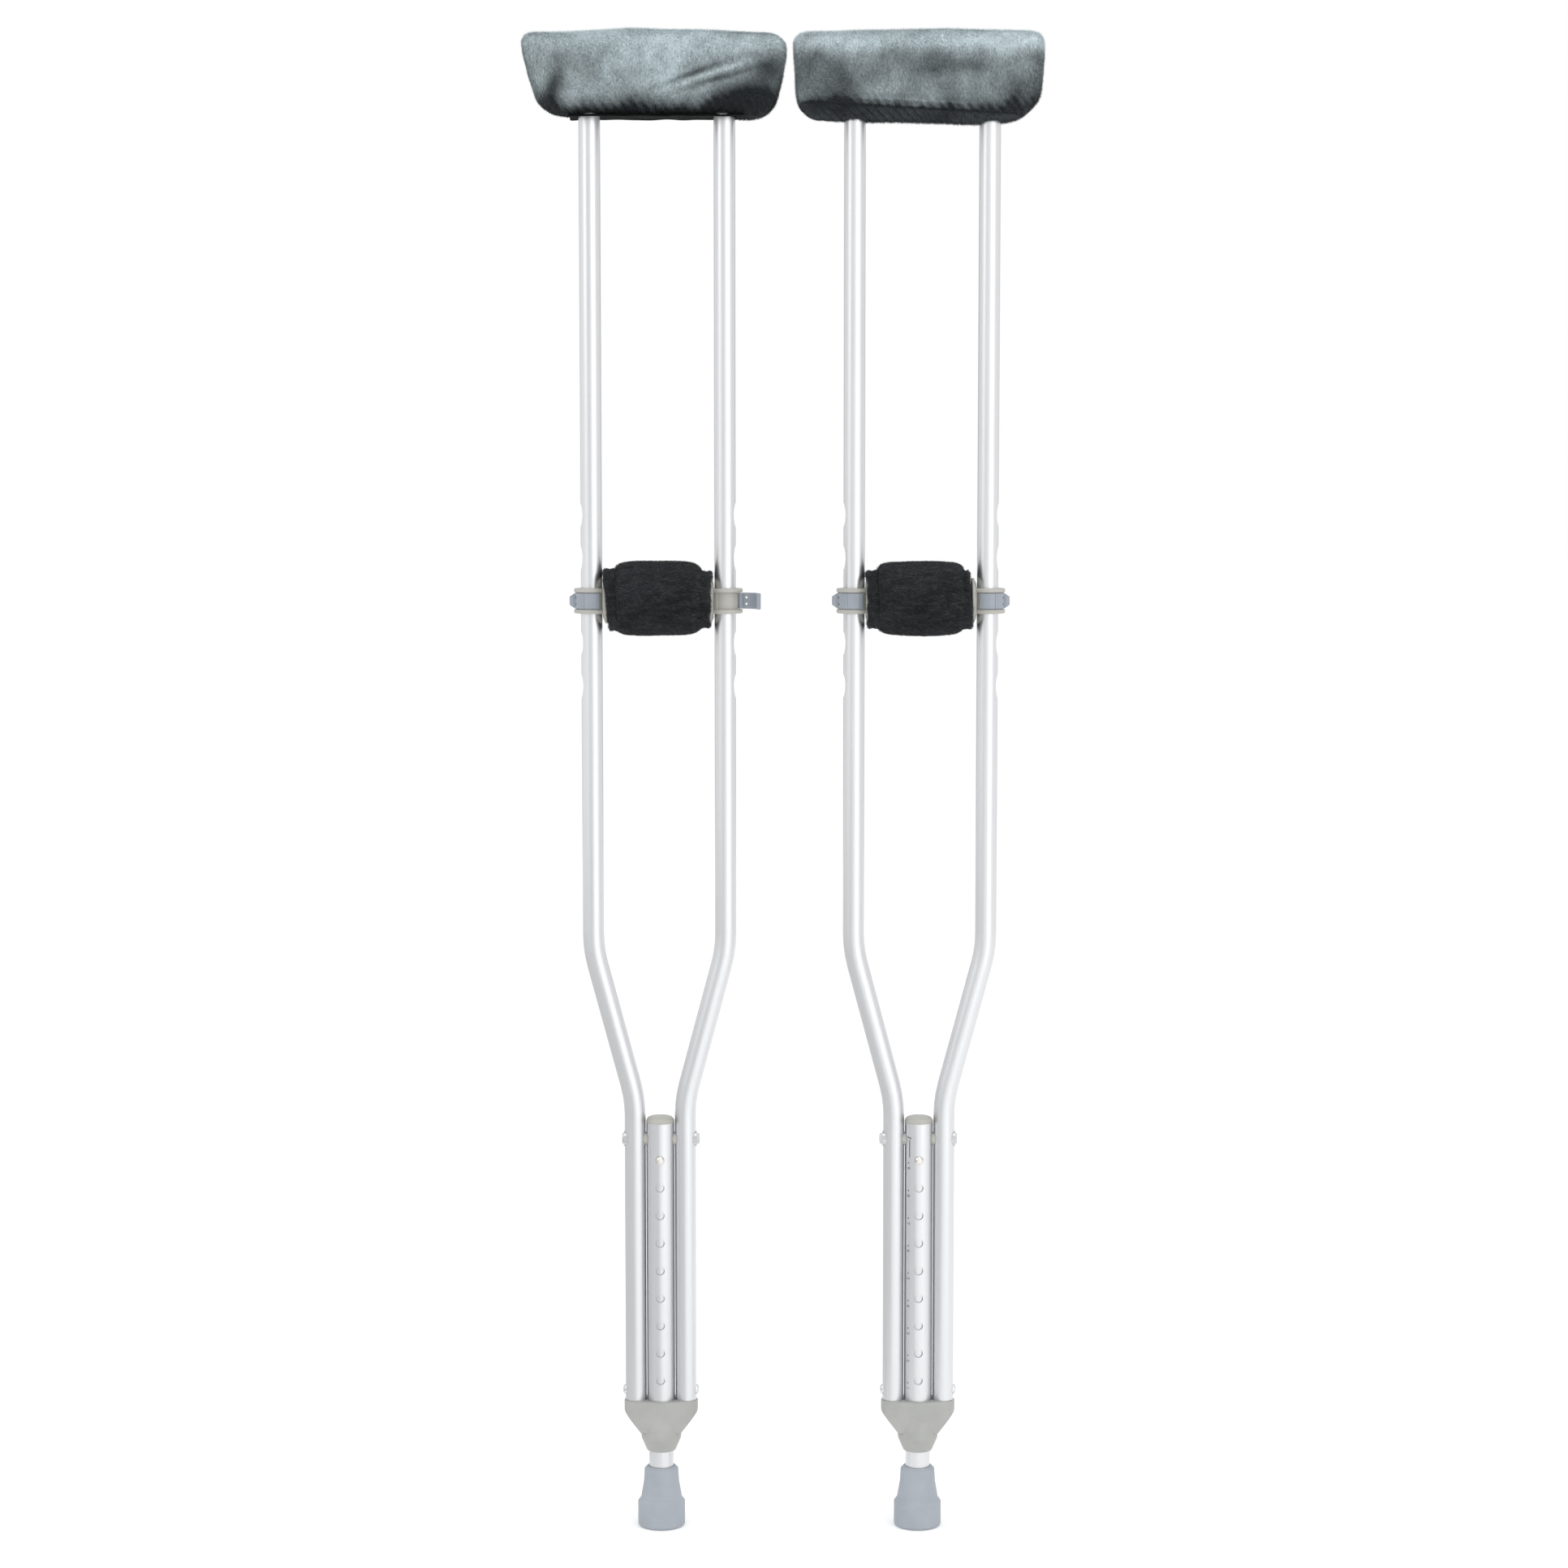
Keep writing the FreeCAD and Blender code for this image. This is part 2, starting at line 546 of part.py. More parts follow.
def bolt_hole():
    """The cross bolt's path, with its fit, for the loose pieces on it."""
    return bar(BOLT_DIAMETER / 2 + HOLE_FIT, Vector(-2 * RAIL_X, 0, BOLT_Z), Vector(2 * RAIL_X, 0, BOLT_Z))


def spacers():
    """Two spacers on the bolt, each hollowed to sit between a rail and the centre tube."""
    pieces = []
    for side in (-1, 1):
        blank = bar(SPACER_DIAMETER / 2, Vector(0, 0, BOLT_Z), Vector(side * RAIL_FOOT_X, 0, BOLT_Z))
        tubes = [
            upright(CENTRE_R, 0, BOLT_Z - SPACER_DIAMETER, BOLT_Z + SPACER_DIAMETER),
            upright(RAIL_R, side * RAIL_FOOT_X, BOLT_Z - SPACER_DIAMETER, BOLT_Z + SPACER_DIAMETER),
            bolt_hole(),
        ]
        pieces.append(blank.cut(tubes))
    return Part.Compound(pieces)


def yoke_rivets():
    """Two domed rivets through the rails' outer walls into the yoke's spigots."""
    crest = RAIL_FOOT_X + RAIL_R
    pieces = []
    for side in (-1, 1):
        root = Vector(side * rivet_root(), 0, RIVET_Z)
        shank = bar(RIVET_DIAMETER / 2, root, Vector(side * crest, 0, RIVET_Z))
        seat = side * (crest - RIVET_HEAD_LAP)
        face = side * (crest + RIVET_HEAD_HEIGHT)
        head_z = RIVET_Z + RIVET_HEAD_DIAMETER / 2
        head = turned([
            (seat, RIVET_Z, 0), (seat, head_z, 0), (face, head_z, RIVET_HEAD_ROUND), (face, RIVET_Z, 0),
        ], Vector(0, 0, RIVET_Z), ACROSS, on_front)
        head = head.cut(upright(RAIL_R, side * RAIL_FOOT_X, RIVET_Z - RAIL_OD, RIVET_Z + RAIL_OD))
        pieces.append(joined([shank, head]))
    return Part.Compound(pieces)


# ---- the leg -----------------------------------------------------------------------------------
def leg_tube():
    """The sliding tube, with its two button holes."""
    tube = upright(LEG_R, 0, LEG_IN_TIP_Z, LEG_TOP).cut(upright(LEG_BORE_R, 0, LEG_IN_TIP_Z, LEG_TOP))
    hole_r = BUTTON_DIAMETER / 2 + BUTTON_HOLE_CLEARANCE
    return tube.cut(bar(hole_r, Vector(0, -CENTRE_OD, TOP_HOLE_Z), Vector(0, CENTRE_OD, TOP_HOLE_Z)))


def tip():
    """The rubber foot: rimmed collar, neck, stepped base and a grooved sole."""
    base_r = LEG_R + TIP_BASE_WALL
    body = turned([
        (0, 0, 0), (base_r, 0, TIP_SOLE_EDGE), (base_r, TIP_BASE_Z, TIP_EDGE),
        (LEG_R + TIP_WAIST_WALL, TIP_BASE_Z + TIP_STEP, TIP_EDGE),
        (LEG_R + TIP_NECK_WALL, TIP_NECK_Z, TIP_NECK_ROUND),
        (LEG_R + TIP_COLLAR_WALL, TIP_HEIGHT - TIP_RIM_DROP, TIP_EDGE),
        (LEG_R + TIP_RIM_WALL, TIP_HEIGHT, 0), (0, TIP_HEIGHT, 0),
    ], Vector(), UP, on_front)
    cuts = [upright(LEG_R, 0, LEG_IN_TIP_Z - TIP_WASHER_THICKNESS, TIP_HEIGHT + CUT_MARGIN)]
    for i in range(TIP_GROOVES):
        outer = base_r - TIP_SOLE_EDGE - TIP_LAND - i * (TIP_LAND + TIP_GROOVE_WIDTH)
        ring = upright(outer, 0, 0, TIP_GROOVE_DEPTH)
        cuts.append(ring.cut(upright(outer - TIP_GROOVE_WIDTH, 0, 0, TIP_GROOVE_DEPTH)))
    return body.cut(cuts)


def tip_washer():
    """The steel disc that keeps the leg from punching through the rubber."""
    return upright(LEG_R, 0, LEG_IN_TIP_Z - TIP_WASHER_THICKNESS, LEG_IN_TIP_Z)


def spring_face_y():
    """Distance from the axis to the strip's outer face, where a button seats."""
    return LEG_BORE_R - SPRING_WALL_GAP


def button(front):
    """One domed button; front is -1 for the front one and 1 for the back one."""
    radius = BUTTON_DIAMETER / 2
    seat = front * spring_face_y()
    edge = front * (CENTRE_R + BUTTON_EDGE)
    crown = front * (CENTRE_R + BUTTON_PROUD)
    profile = [
        (seat, TOP_HOLE_Z, 0), (seat, TOP_HOLE_Z + radius, 0),
        (edge, TOP_HOLE_Z + radius, BUTTON_EDGE_ROUND),
        (crown, TOP_HOLE_Z + BUTTON_CROWN_RADIUS, BUTTON_CROWN_ROUND), (crown, TOP_HOLE_Z, 0)]
    return turned(profile, Vector(0, 0, TOP_HOLE_Z), DEEP, on_side)


def button_spring():
    """A folded strip that pushes the two buttons apart, folded end down."""
    out = spring_face_y()
    top = TOP_HOLE_Z + BUTTON_DIAMETER
    knee = TOP_HOLE_Z - BUTTON_DIAMETER
    fold = TOP_HOLE_Z - SPRING_ARM
    inner = out - SPRING_THICKNESS
    foot = SPRING_FOOT - SPRING_THICKNESS
    inner_fold = fold + SPRING_THICKNESS
    inner_round = SPRING_FOLD_ROUND - SPRING_THICKNESS
    knee_round = SPRING_KNEE_ROUND
    corners = [
        (-out, top, 0), (-out, knee, knee_round), (-SPRING_FOOT, fold, SPRING_FOLD_ROUND),
        (SPRING_FOOT, fold, SPRING_FOLD_ROUND), (out, knee, knee_round), (out, top, 0),
        (inner, top, 0), (inner, knee, knee_round), (foot, inner_fold, inner_round),
        (-foot, inner_fold, inner_round), (-inner, knee, knee_round), (-inner, top, 0),
    ]
    strip = Part.Face(outline(corners, on_side)).extrude(Vector(SPRING_WIDTH, 0, 0))
    strip.translate(Vector(-SPRING_WIDTH / 2, 0, 0))
    return strip


# ---- the handgrip ------------------------------------------------------------------------------
def about_grip(corners):
    """The outline of (x, radius, corner radius) corners turned about the grip's axis."""
    raised = [(x, GRIP_HEIGHT + r, rounding) for x, r, rounding in corners]
    return turned(raised, Vector(0, 0, GRIP_HEIGHT), ACROSS, on_front)


def core():
    """The rigid tube inside the grip."""
    half = DISC_INNER_X
    outer = CORE_DIAMETER / 2
    inner = outer - CORE_WALL
    return about_grip([(-half, inner, 0), (half, inner, 0), (half, outer, 0), (-half, outer, 0)])


def grip_outline(inset):
    """The padded grip's outer shape: (x, radius, rounding), from the left end to the right."""
    left = -(RAIL_X - RAIL_R) + GRIP_RAIL_GAP + inset
    right = DISC_INNER_X - GRIP_DISC_GAP - inset
    end_r = GRIP_END_DIAMETER / 2 - inset
    full_r = GRIP_COVER_DIAMETER / 2 - inset
    neck = DISC_INNER_X - GRIP_END_LENGTH + GRIP_SLOPE
    return [
        (left, end_r - GRIP_HEM_DROP, GRIP_HEM_EDGE), (left + GRIP_SLOPE, end_r, GRIP_HEM_ROUND),
        (-neck, end_r, GRIP_NECK_ROUND), (GRIP_SLOPE - neck, full_r, GRIP_SHOULDER_ROUND),
        (neck - GRIP_SLOPE, full_r, GRIP_SHOULDER_ROUND), (neck, end_r, GRIP_NECK_ROUND),
        (right - GRIP_SLOPE, end_r, GRIP_HEM_ROUND), (right, end_r - GRIP_HEM_DROP, GRIP_HEM_EDGE),
    ]


def grip_foam():
    """The foam sleeve on the core, between the two discs."""
    shape = grip_outline(GRIP_COVER_THICKNESS)
    core_r = CORE_DIAMETER / 2
    closed = about_grip([(shape[0][0], core_r, 0)] + shape + [(shape[-1][0], core_r, 0)])
    room = about_grip([(-DISC_INNER_X, 0, 0), (-DISC_INNER_X, GRIP_COVER_DIAMETER, 0),
                       (DISC_INNER_X, GRIP_COVER_DIAMETER, 0), (DISC_INNER_X, 0, 0)])
    return closed.common(room)


def grip_cover():
    """The fabric cover: round the foam, over the left disc and up to the right one."""
    outside = grip_outline(0)
    inside = grip_outline(GRIP_COVER_THICKNESS)
    core_r = CORE_DIAMETER / 2
    mouth_r = DISC_DIAMETER / 2 + GRIP_DISC_GAP
    outer = about_grip([(outside[0][0], mouth_r, 0)] + outside + [
        (outside[-1][0], core_r, 0), (-DISC_INNER_X, core_r, 0), (-DISC_INNER_X, mouth_r, 0)])
    inner = about_grip([(inside[0][0], core_r, 0)] + inside + [(inside[-1][0], core_r, 0)])
    return outer.cut(inner)


def clamp(side, shift):
    """Clamp, flanges, catch, end disc and boss in one moulding, about the rail's axis (x = 0)."""
    half = FLANGE_GAP / 2
    top, bottom = CLAMP_HALF, -CLAMP_HALF
    disc_face = DISC_OUTER_X - RAIL_X
    disc_back = disc_face - DISC_THICKNESS
    disc_r = DISC_DIAMETER / 2
    ring = joined([
        sector(CLAMP_BORE_R, BAND_R, 0, 360, -half, half),
        sector(CLAMP_BORE_R, FLANGE_R, 0, 360, half, top, FLANGE_ROUND),
        sector(CLAMP_BORE_R, FLANGE_R, 0, 360, bottom, -half, FLANGE_ROUND),
        sector(CLAMP_BORE_R, BAND_R + CATCH_HEIGHT, CATCH_START, 360 - LATCH_WRAP - CATCH_GAP, -half, half),
    ])
    ring = ring.common(block((disc_face - DISC_LAP, FLANGE_R), (-FLANGE_R, FLANGE_R), (bottom, top)))
    window = block((RAIL_R / 2, FLANGE_R), (-KNUCKLE_RADIUS - WINDOW_GAP,
                   KNUCKLE_RADIUS + HEEL_REACH + WINDOW_SWING_GAP), (-half, half))
    ring = ring.cut([window, upright(PIN_DIAMETER / 2, HINGE_X, bottom, top)])
    disc = Part.Face(outline([
        (disc_back, 0, 0), (disc_back, disc_r, DISC_EDGE_ROUND),
        (disc_back + DISC_EDGE, disc_r, DISC_EDGE_ROUND), (disc_face, disc_r - DISC_HUB_DROP, DISC_HUB_ROUND),
        (disc_face, 0, 0)], on_front)).revolve(Vector(), ACROSS, 360)
    boss_r = CORE_DIAMETER / 2 - CORE_WALL
    boss_end = Vector(disc_back - BOSS_LENGTH, 0, 0)
    boss = bar(boss_r, boss_end, Vector(disc_face - BOSS_LAP, 0, 0))
    boss = boss.cut(bar(boss_r - BOSS_WALL, boss_end, Vector(disc_back, 0, 0)))
    return placed_at_grip(joined([ring, disc, boss]), side, shift)


def latch_closed():
    """The latch about the rail's axis: hinge on +X, arm round the front, hook at its end."""
    low, high = -LATCH_HEIGHT / 2, LATCH_HEIGHT / 2
    lip_r = LATCH_OUT_R + HOOK_LIP
    ridge_r = LATCH_OUT_R + HOOK_LIP / 2
    arm = sector(LATCH_IN_R, LATCH_OUT_R, -LATCH_WRAP, -LATCH_ARM_START, low, high, LATCH_ROUND)
    hook = sector(LATCH_IN_R, lip_r, -LATCH_WRAP, HOOK_SPAN - LATCH_WRAP, low, high, LATCH_ROUND)
    ridge = sector(LATCH_IN_R, ridge_r, -RIDGE_ANGLE - RIDGE_SPAN, -RIDGE_ANGLE, low, high, LATCH_ROUND)
    knuckle_low, knuckle_high = -KNUCKLE_HEIGHT / 2, KNUCKLE_HEIGHT / 2
    heel_x = HINGE_X + HEEL_REACH
    knuckle = upright(KNUCKLE_RADIUS, HINGE_X, knuckle_low, knuckle_high)
    heel = joined([
        upright(KNUCKLE_RADIUS, heel_x, knuckle_low, knuckle_high),
        block((HINGE_X, heel_x), (-KNUCKLE_RADIUS, KNUCKLE_RADIUS), (knuckle_low, knuckle_high)),
    ])
    root = HINGE_X - KNUCKLE_RADIUS
    reach = heel_x + KNUCKLE_RADIUS
    bend = FLANGE_R - HEEL_SETBACK
    slope = Part.Face(outline([
        (root, knuckle_low, 0), (bend, knuckle_low, HEEL_BEND_ROUND),
        (reach, knuckle_low + HEEL_CHAMFER, HEEL_EDGE_ROUND),
        (reach, knuckle_high - HEEL_CHAMFER, HEEL_EDGE_ROUND),
        (bend, knuckle_high, HEEL_BEND_ROUND), (root, knuckle_high, 0),
    ], on_front)).extrude(Vector(0, 4 * KNUCKLE_RADIUS, 0))
    slope.translate(Vector(0, -2 * KNUCKLE_RADIUS, 0))
    body = joined([arm, hook, ridge, joined([knuckle, heel]).common(slope)])
    holes = [upright(PIN_DIAMETER / 2 + PIN_FIT, HINGE_X, low, high)]
    lean = math.radians(-LATCH_HOLE_ANGLE)
    for z in (-LATCH_HOLE_SPACING / 2, LATCH_HOLE_SPACING / 2):
        start = Vector(BAND_R * math.cos(lean), BAND_R * math.sin(lean), z)
        end = Vector(2 * BAND_R * math.cos(lean), 2 * BAND_R * math.sin(lean), z)
        holes.append(bar(LATCH_HOLE_DIAMETER / 2, start, end))
    return body.cut(holes)


def latch(side, shift, angle):
    """A latch at its clamp, swung open by an angle in degrees."""
    shape = latch_closed()
    shape.rotate(Vector(HINGE_X, 0, 0), UP, angle)
    return placed_at_grip(shape, side, shift)


def placed_at_grip(shape, side, shift):
    """Moves a clamp piece from the rail's axis to the +X or -X rail of one crutch."""
    moved = shape.copy()
    moved.translate(Vector(RAIL_X, 0, GRIP_HEIGHT))
    moved = flipped(moved) if side < 0 else moved
    moved.translate(Vector(shift, 0, 0))
    return moved


def latch_pins():
    """The two hinge pins."""
    low, high = GRIP_HEIGHT - CLAMP_HALF, GRIP_HEIGHT + CLAMP_HALF
    pin = upright(PIN_DIAMETER / 2, RAIL_X + HINGE_X, low, high)
    return Part.Compound([pin, flipped(pin)])


# ---- the underarm cushion ------------------------------------------------------------------------
def saddle_pin_bar(extra):
    """The pin through a rail's top end, from front to back, on the +X side."""
    reach = RAIL_R + SOCKET_WALL + SADDLE_PIN_PROUD
    z = CUSHION_BOTTOM + SADDLE_PIN_HEIGHT
    return bar(SADDLE_PIN_DIAMETER / 2 + extra, Vector(RAIL_X, -reach, z), Vector(RAIL_X, reach, z))


def saddle_pins():
    """The two pins that hold the saddle on the rails."""
    pin = saddle_pin_bar(0)
    return Part.Compound([pin, flipped(pin)])


def saddle_blank():
    """The crosspiece with its two sockets, before it is bored."""
    half = RAIL_X + SADDLE_OVERHANG
    low = CUSHION_BOTTOM + SADDLE_BASE
    high = low + SADDLE_THICKNESS
    tip_z = low + SADDLE_TIP_RISE
    horn_z = high + SADDLE_HORN
    front = outline([
        (-half, tip_z, SADDLE_TIP_ROUND), (-half + SADDLE_TIP, low, SADDLE_BEND_ROUND),
        (half - SADDLE_TIP, low, SADDLE_BEND_ROUND), (half, tip_z, SADDLE_TIP_ROUND),
        (half, horn_z, SADDLE_HORN_ROUND), (0, high - SADDLE_SAG, SADDLE_SAG_ROUND),
        (-half, horn_z, SADDLE_HORN_ROUND)], on_front)
    crosspiece = Part.Face(front).extrude(Vector(0, SADDLE_DEPTH, 0))
    crosspiece.translate(Vector(0, -SADDLE_DEPTH / 2, 0))
    top = low + SADDLE_SOCKET_LAP
    sockets = [
        upright(RAIL_R + SOCKET_WALL, side * RAIL_X, top - SADDLE_SOCKET_LENGTH, top) for side in (-1, 1)
    ]
    return joined([crosspiece] + sockets)


def saddle():
    """The crosspiece that the cushion sits on, bored for the rails and the pins."""
    cuts = [upright(RAIL_R + SOCKET_FIT, side * RAIL_X, CUSHION_BOTTOM, RAIL_TOP) for side in (-1, 1)]
    return saddle_blank().cut(cuts + [saddle_pin_bar(0), flipped(saddle_pin_bar(0))])


def cushion(inset):
    """The cushion's outer shape, drawn in by an inset on every side."""
    low, high = CUSHION_BOTTOM + inset, OVERALL_HEIGHT - inset
    top_half = CUSHION_HALF - inset
    bottom_half = top_half - CUSHION_TAPER
    widest = high - CUSHION_END_DROP
    lean = top_half - CUSHION_END_LEAN
    dip_end = top_half - CUSHION_DIP_END
    front = outline([
        (-bottom_half, low, CUSHION_CORNER_ROUND), (bottom_half, low, CUSHION_CORNER_ROUND),
        (top_half, widest, CUSHION_END_ROUND), (lean, high, CUSHION_TOP_ROUND),
        (dip_end, high, CUSHION_DIP_END_ROUND), (0, high - CUSHION_DIP, CUSHION_DIP_ROUND),
        (-dip_end, high, CUSHION_DIP_END_ROUND), (-lean, high, CUSHION_TOP_ROUND),
        (-top_half, widest, CUSHION_END_ROUND)], on_front)
    depth = CUSHION_DEPTH / 2 - inset
    foot = depth - CUSHION_FOOT_TUCK
    crown = depth - CUSHION_TOP_TUCK
    belly = low + CUSHION_BELLY
    side = outline([
        (-foot, low, CUSHION_FOOT_ROUND), (foot, low, CUSHION_FOOT_ROUND),
        (depth, belly, CUSHION_END_ROUND), (crown, high, CUSHION_TOP_ROUND),
        (-crown, high, CUSHION_TOP_ROUND), (-depth, belly, CUSHION_END_ROUND),
    ], on_side)
    front_prism = Part.Face(front).extrude(Vector(0, CUSHION_DEPTH, 0))
    front_prism.translate(Vector(0, -CUSHION_DEPTH / 2, 0))
    side_prism = Part.Face(side).extrude(Vector(2 * CUSHION_HALF, 0, 0))
    side_prism.translate(Vector(-CUSHION_HALF, 0, 0))
    return front_prism.common(side_prism)


def rails_in_cushion(extra):
    """Where the two rails rise into the cushion."""
    top = CUSHION_BOTTOM + SADDLE_BASE
    return [upright(RAIL_R + extra, side * RAIL_X, CUSHION_BOTTOM - CUT_MARGIN, top) for side in (-1, 1)]


def lining_blank():
    """The panel that closes the cushion's underside."""
    half = RAIL_X + LINING_OVERHANG
    depth = LINING_DEPTH / 2
    panel = block((-half, half), (-depth, depth), (CUSHION_BOTTOM, CUSHION_BOTTOM + COVER_THICKNESS))
    return panel.makeFillet(LINING_CORNER, [e for e in panel.Edges if abs(e.tangentAt(0).z) > 0.9])


def lining():
    """The black panel with a hole for each rail."""
    return lining_blank().cut(rails_in_cushion(LINING_HOLE_GAP))


def foam():
    """The foam body, hollow where the saddle, rails and pins are."""
    return cushion(COVER_THICKNESS).cut([saddle_blank(), saddle_pins()] + rails_in_cushion(0))


def cover():
    """The plush cover: round the foam, open below where the lining is."""
    return cushion(0).cut([cushion(COVER_THICKNESS), lining_blank()])


# ---- one crutch --------------------------------------------------------------------------------
def crutch(name, outer, open_latches):
    """Every node of one crutch; outer is -1 or 1, the side away from the other crutch."""
    shift = outer * AXIS_X
    fasteners = {"top_bolt": bolt(), "top_nut": nut()}
    if outer < 0:
        fasteners = {part_name: flipped(shape) for part_name, shape in fasteners.items()}
    centred = {
        "centre_tube": centre_tube(), "tube_cap": tube_cap(), "yoke": yoke(),
        "top_washers": washers(), "tube_spacers": spacers(), "yoke_rivets": yoke_rivets(),
        "saddle": saddle(), "saddle_pins": saddle_pins(),
        "underarm_foam": foam(), "underarm_cover": cover(), "underarm_lining": lining(),
        "leg_tube": leg_tube(), "tip": tip(), "tip_washer": tip_washer(),
        "button_spring": button_spring(), "front_button": button(-1), "back_button": button(1),
        "grip_core": core(), "grip_foam": grip_foam(), "grip_cover": grip_cover(), "latch_pins": latch_pins(),
    }
    nodes = {}
    for part_name, shape in {**centred, **fasteners}.items():
        moved = shape.copy()
        moved.translate(Vector(shift, 0, 0))
        nodes[f"{name}_{part_name}"] = moved
    for place, side in (("outer", outer), ("inner", -outer)):
        tube = rail() if side > 0 else flipped(rail())
        tube.translate(Vector(shift, 0, 0))
        nodes[f"{name}_{place}_rail"] = tube
        nodes[f"{name}_{place}_clamp"] = clamp(side, shift)
        angle = LATCH_OPEN_ANGLE if place in open_latches else 0.0
        nodes[f"{name}_{place}_latch"] = latch(side, shift, angle)
    return nodes


def main():
    os.makedirs("parts", exist_ok=True)
    nodes = crutch("left", -1, ("inner",))
    nodes.update(crutch("right", 1, ()))
    for name, shape in nodes.items():
        shape.exportStep(f"parts/{name}.step")
        print(f"{name:26s} {len(shape.Solids)} solids {shape.Volume / 1000:9.2f} cm3 valid {shape.isValid()}")


main()
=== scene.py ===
"""A pair of underarm crutches: fabric, pads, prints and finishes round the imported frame."""

import json
import math

import bmesh
import bpy
from mathutils import Matrix, Vector, noise


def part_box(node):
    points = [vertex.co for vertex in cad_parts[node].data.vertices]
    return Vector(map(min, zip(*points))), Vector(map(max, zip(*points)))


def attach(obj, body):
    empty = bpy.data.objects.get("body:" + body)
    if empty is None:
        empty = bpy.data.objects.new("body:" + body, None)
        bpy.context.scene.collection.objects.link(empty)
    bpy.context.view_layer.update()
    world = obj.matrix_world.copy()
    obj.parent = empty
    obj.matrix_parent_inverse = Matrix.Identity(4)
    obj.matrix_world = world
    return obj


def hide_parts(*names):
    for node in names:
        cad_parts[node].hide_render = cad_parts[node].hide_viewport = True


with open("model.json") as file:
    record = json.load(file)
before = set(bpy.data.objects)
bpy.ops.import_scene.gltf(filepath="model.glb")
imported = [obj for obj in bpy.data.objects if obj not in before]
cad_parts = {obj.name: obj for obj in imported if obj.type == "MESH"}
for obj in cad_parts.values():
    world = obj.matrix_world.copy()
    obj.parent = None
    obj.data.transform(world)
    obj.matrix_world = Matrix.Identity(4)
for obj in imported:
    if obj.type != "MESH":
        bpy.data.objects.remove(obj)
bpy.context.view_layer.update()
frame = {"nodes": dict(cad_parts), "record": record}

bl_info = {
    "name": "Underarm Crutches",
    "version": (1, 0, 0),
    "blender": (4, 5, 0),
    "location": "View3D > Sidebar > Crutches",
    "description": "Builds the soft parts, prints and finishes of a pair of underarm crutches",
    "category": "Object",
}

MM = 0.001
HOLE_PITCH = 25.4 * MM
HOLE_COUNT = 9
NODES = frame["nodes"]
SIDES = ("left", "right")
SLOT_OF = {part["node"]: part["material_slot"] for part in frame["record"]["subparts"]}


# ---- small helpers -----------------------------------------------------------------------------
def linear(code):
    """A linear colour from an sRGB hex value such as '#b3b2aa'."""
    channels = [int(code[i:i + 2], 16) / 255 for i in (1, 3, 5)]
    return tuple(c / 12.92 if c <= 0.04045 else ((c + 0.055) / 1.055) ** 2.4 for c in channels) + (1.0,)


def add(tree, kind, inputs=None, **settings):
    """Adds a node with its settings; an input is a value or another node's output socket."""
    made = tree.nodes.new(kind)
    for name, value in settings.items():
        setattr(made, name, value)
    for key, value in (inputs or {}).items():
        if isinstance(value, bpy.types.NodeSocket):
            tree.links.new(value, made.inputs[key])
        else:
            made.inputs[key].default_value = value
    return made


def blend01(edge0, edge1, value):
    """A smooth step from 0 at edge0 to 1 at edge1."""
    t = min(1.0, max(0.0, (value - edge0) / (edge1 - edge0)))
    return t * t * (3 - 2 * t)


def look():
    """The sizes and colours of the panel."""
    return bpy.context.scene.crutches


def new_piece(name, mesh, body):
    """Links a mesh as a piece that rides on a body."""
    made = bpy.data.objects.new(name, mesh)
    bpy.context.scene.collection.objects.link(made)
    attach(made, body)
    return made


def plain_mesh(source, name):
    """The evaluated mesh of an object, as a mesh with no modifiers."""
    graph = bpy.context.evaluated_depsgraph_get()
    mesh = bpy.data.meshes.new_from_object(source.evaluated_get(graph), depsgraph=graph)
    mesh.name = name
    return mesh


def smooth(mesh):
    """Smooth shading on every face."""
    mesh.polygons.foreach_set("use_smooth", [True] * len(mesh.polygons))
    mesh.update()


# ---- what a user may change --------------------------------------------------------------------
def colour_prop(name, description, code):
    """A colour setting whose default is an sRGB hex value."""
    return bpy.props.FloatVectorProperty(
        name=name, description=description, subtype="COLOR", size=4, min=0, max=1, default=linear(code))


def length_prop(name, description, millimetres):
    """A length setting, given in millimetres and kept in metres."""
    return bpy.props.FloatProperty(
        name=name, description=description, subtype="DISTANCE", unit="LENGTH", min=0,
        default=millimetres * MM)


class CrutchCushionLook(bpy.types.PropertyGroup):
    # The light and dark nap colours are lit and shaded copies of the plush: painted sheen and painted
    # shade.
    light: colour_prop("Light nap", "Plush brushed towards the light", "#c0cdd1")
    dark: colour_prop("Dark nap", "Plush brushed away from the light", "#0f1417")
    # The lining colour is darker than its black cloth, as painted shade under the cushion.
    lining: colour_prop("Lining", "Woven lining under the cushion", "#050506")
    pile_length: length_prop("Pile length", "Length of the plush's hairs", 3.0)
    pile_width: length_prop("Pile width", "Width of a tuft of hairs", 0.34)
    pile_count: bpy.props.IntProperty(
        name="Tufts", description="Tufts on one cushion", min=0, default=60000)
    voxel: length_prop("Voxel", "Cell size of the mesh that is inflated", 5.0)
    start_margin: length_prop("Start margin", "How much smaller it starts on each side", 3.5)
    cap: length_prop("Swell cap", "How far inflating may move a point", 8.0)
    pressure: bpy.props.FloatProperty(
        name="Pressure", description="Air pressure while inflating", default=4.0)


class CrutchGripLook(bpy.types.PropertyGroup):
    fleece: colour_prop("Fleece", "Brushed fleece of the handgrip", "#101214")
    streak: colour_prop("Streak", "Lighter brushed strands", "#8a8d93")
    pile_length: length_prop("Strand length", "Length of the brushed strands", 2.8)
    pile_width: length_prop("Strand width", "Width of a strand", 0.30)
    pile_count: bpy.props.IntProperty(
        name="Strands", description="Strands on one grip", min=0, default=26000)


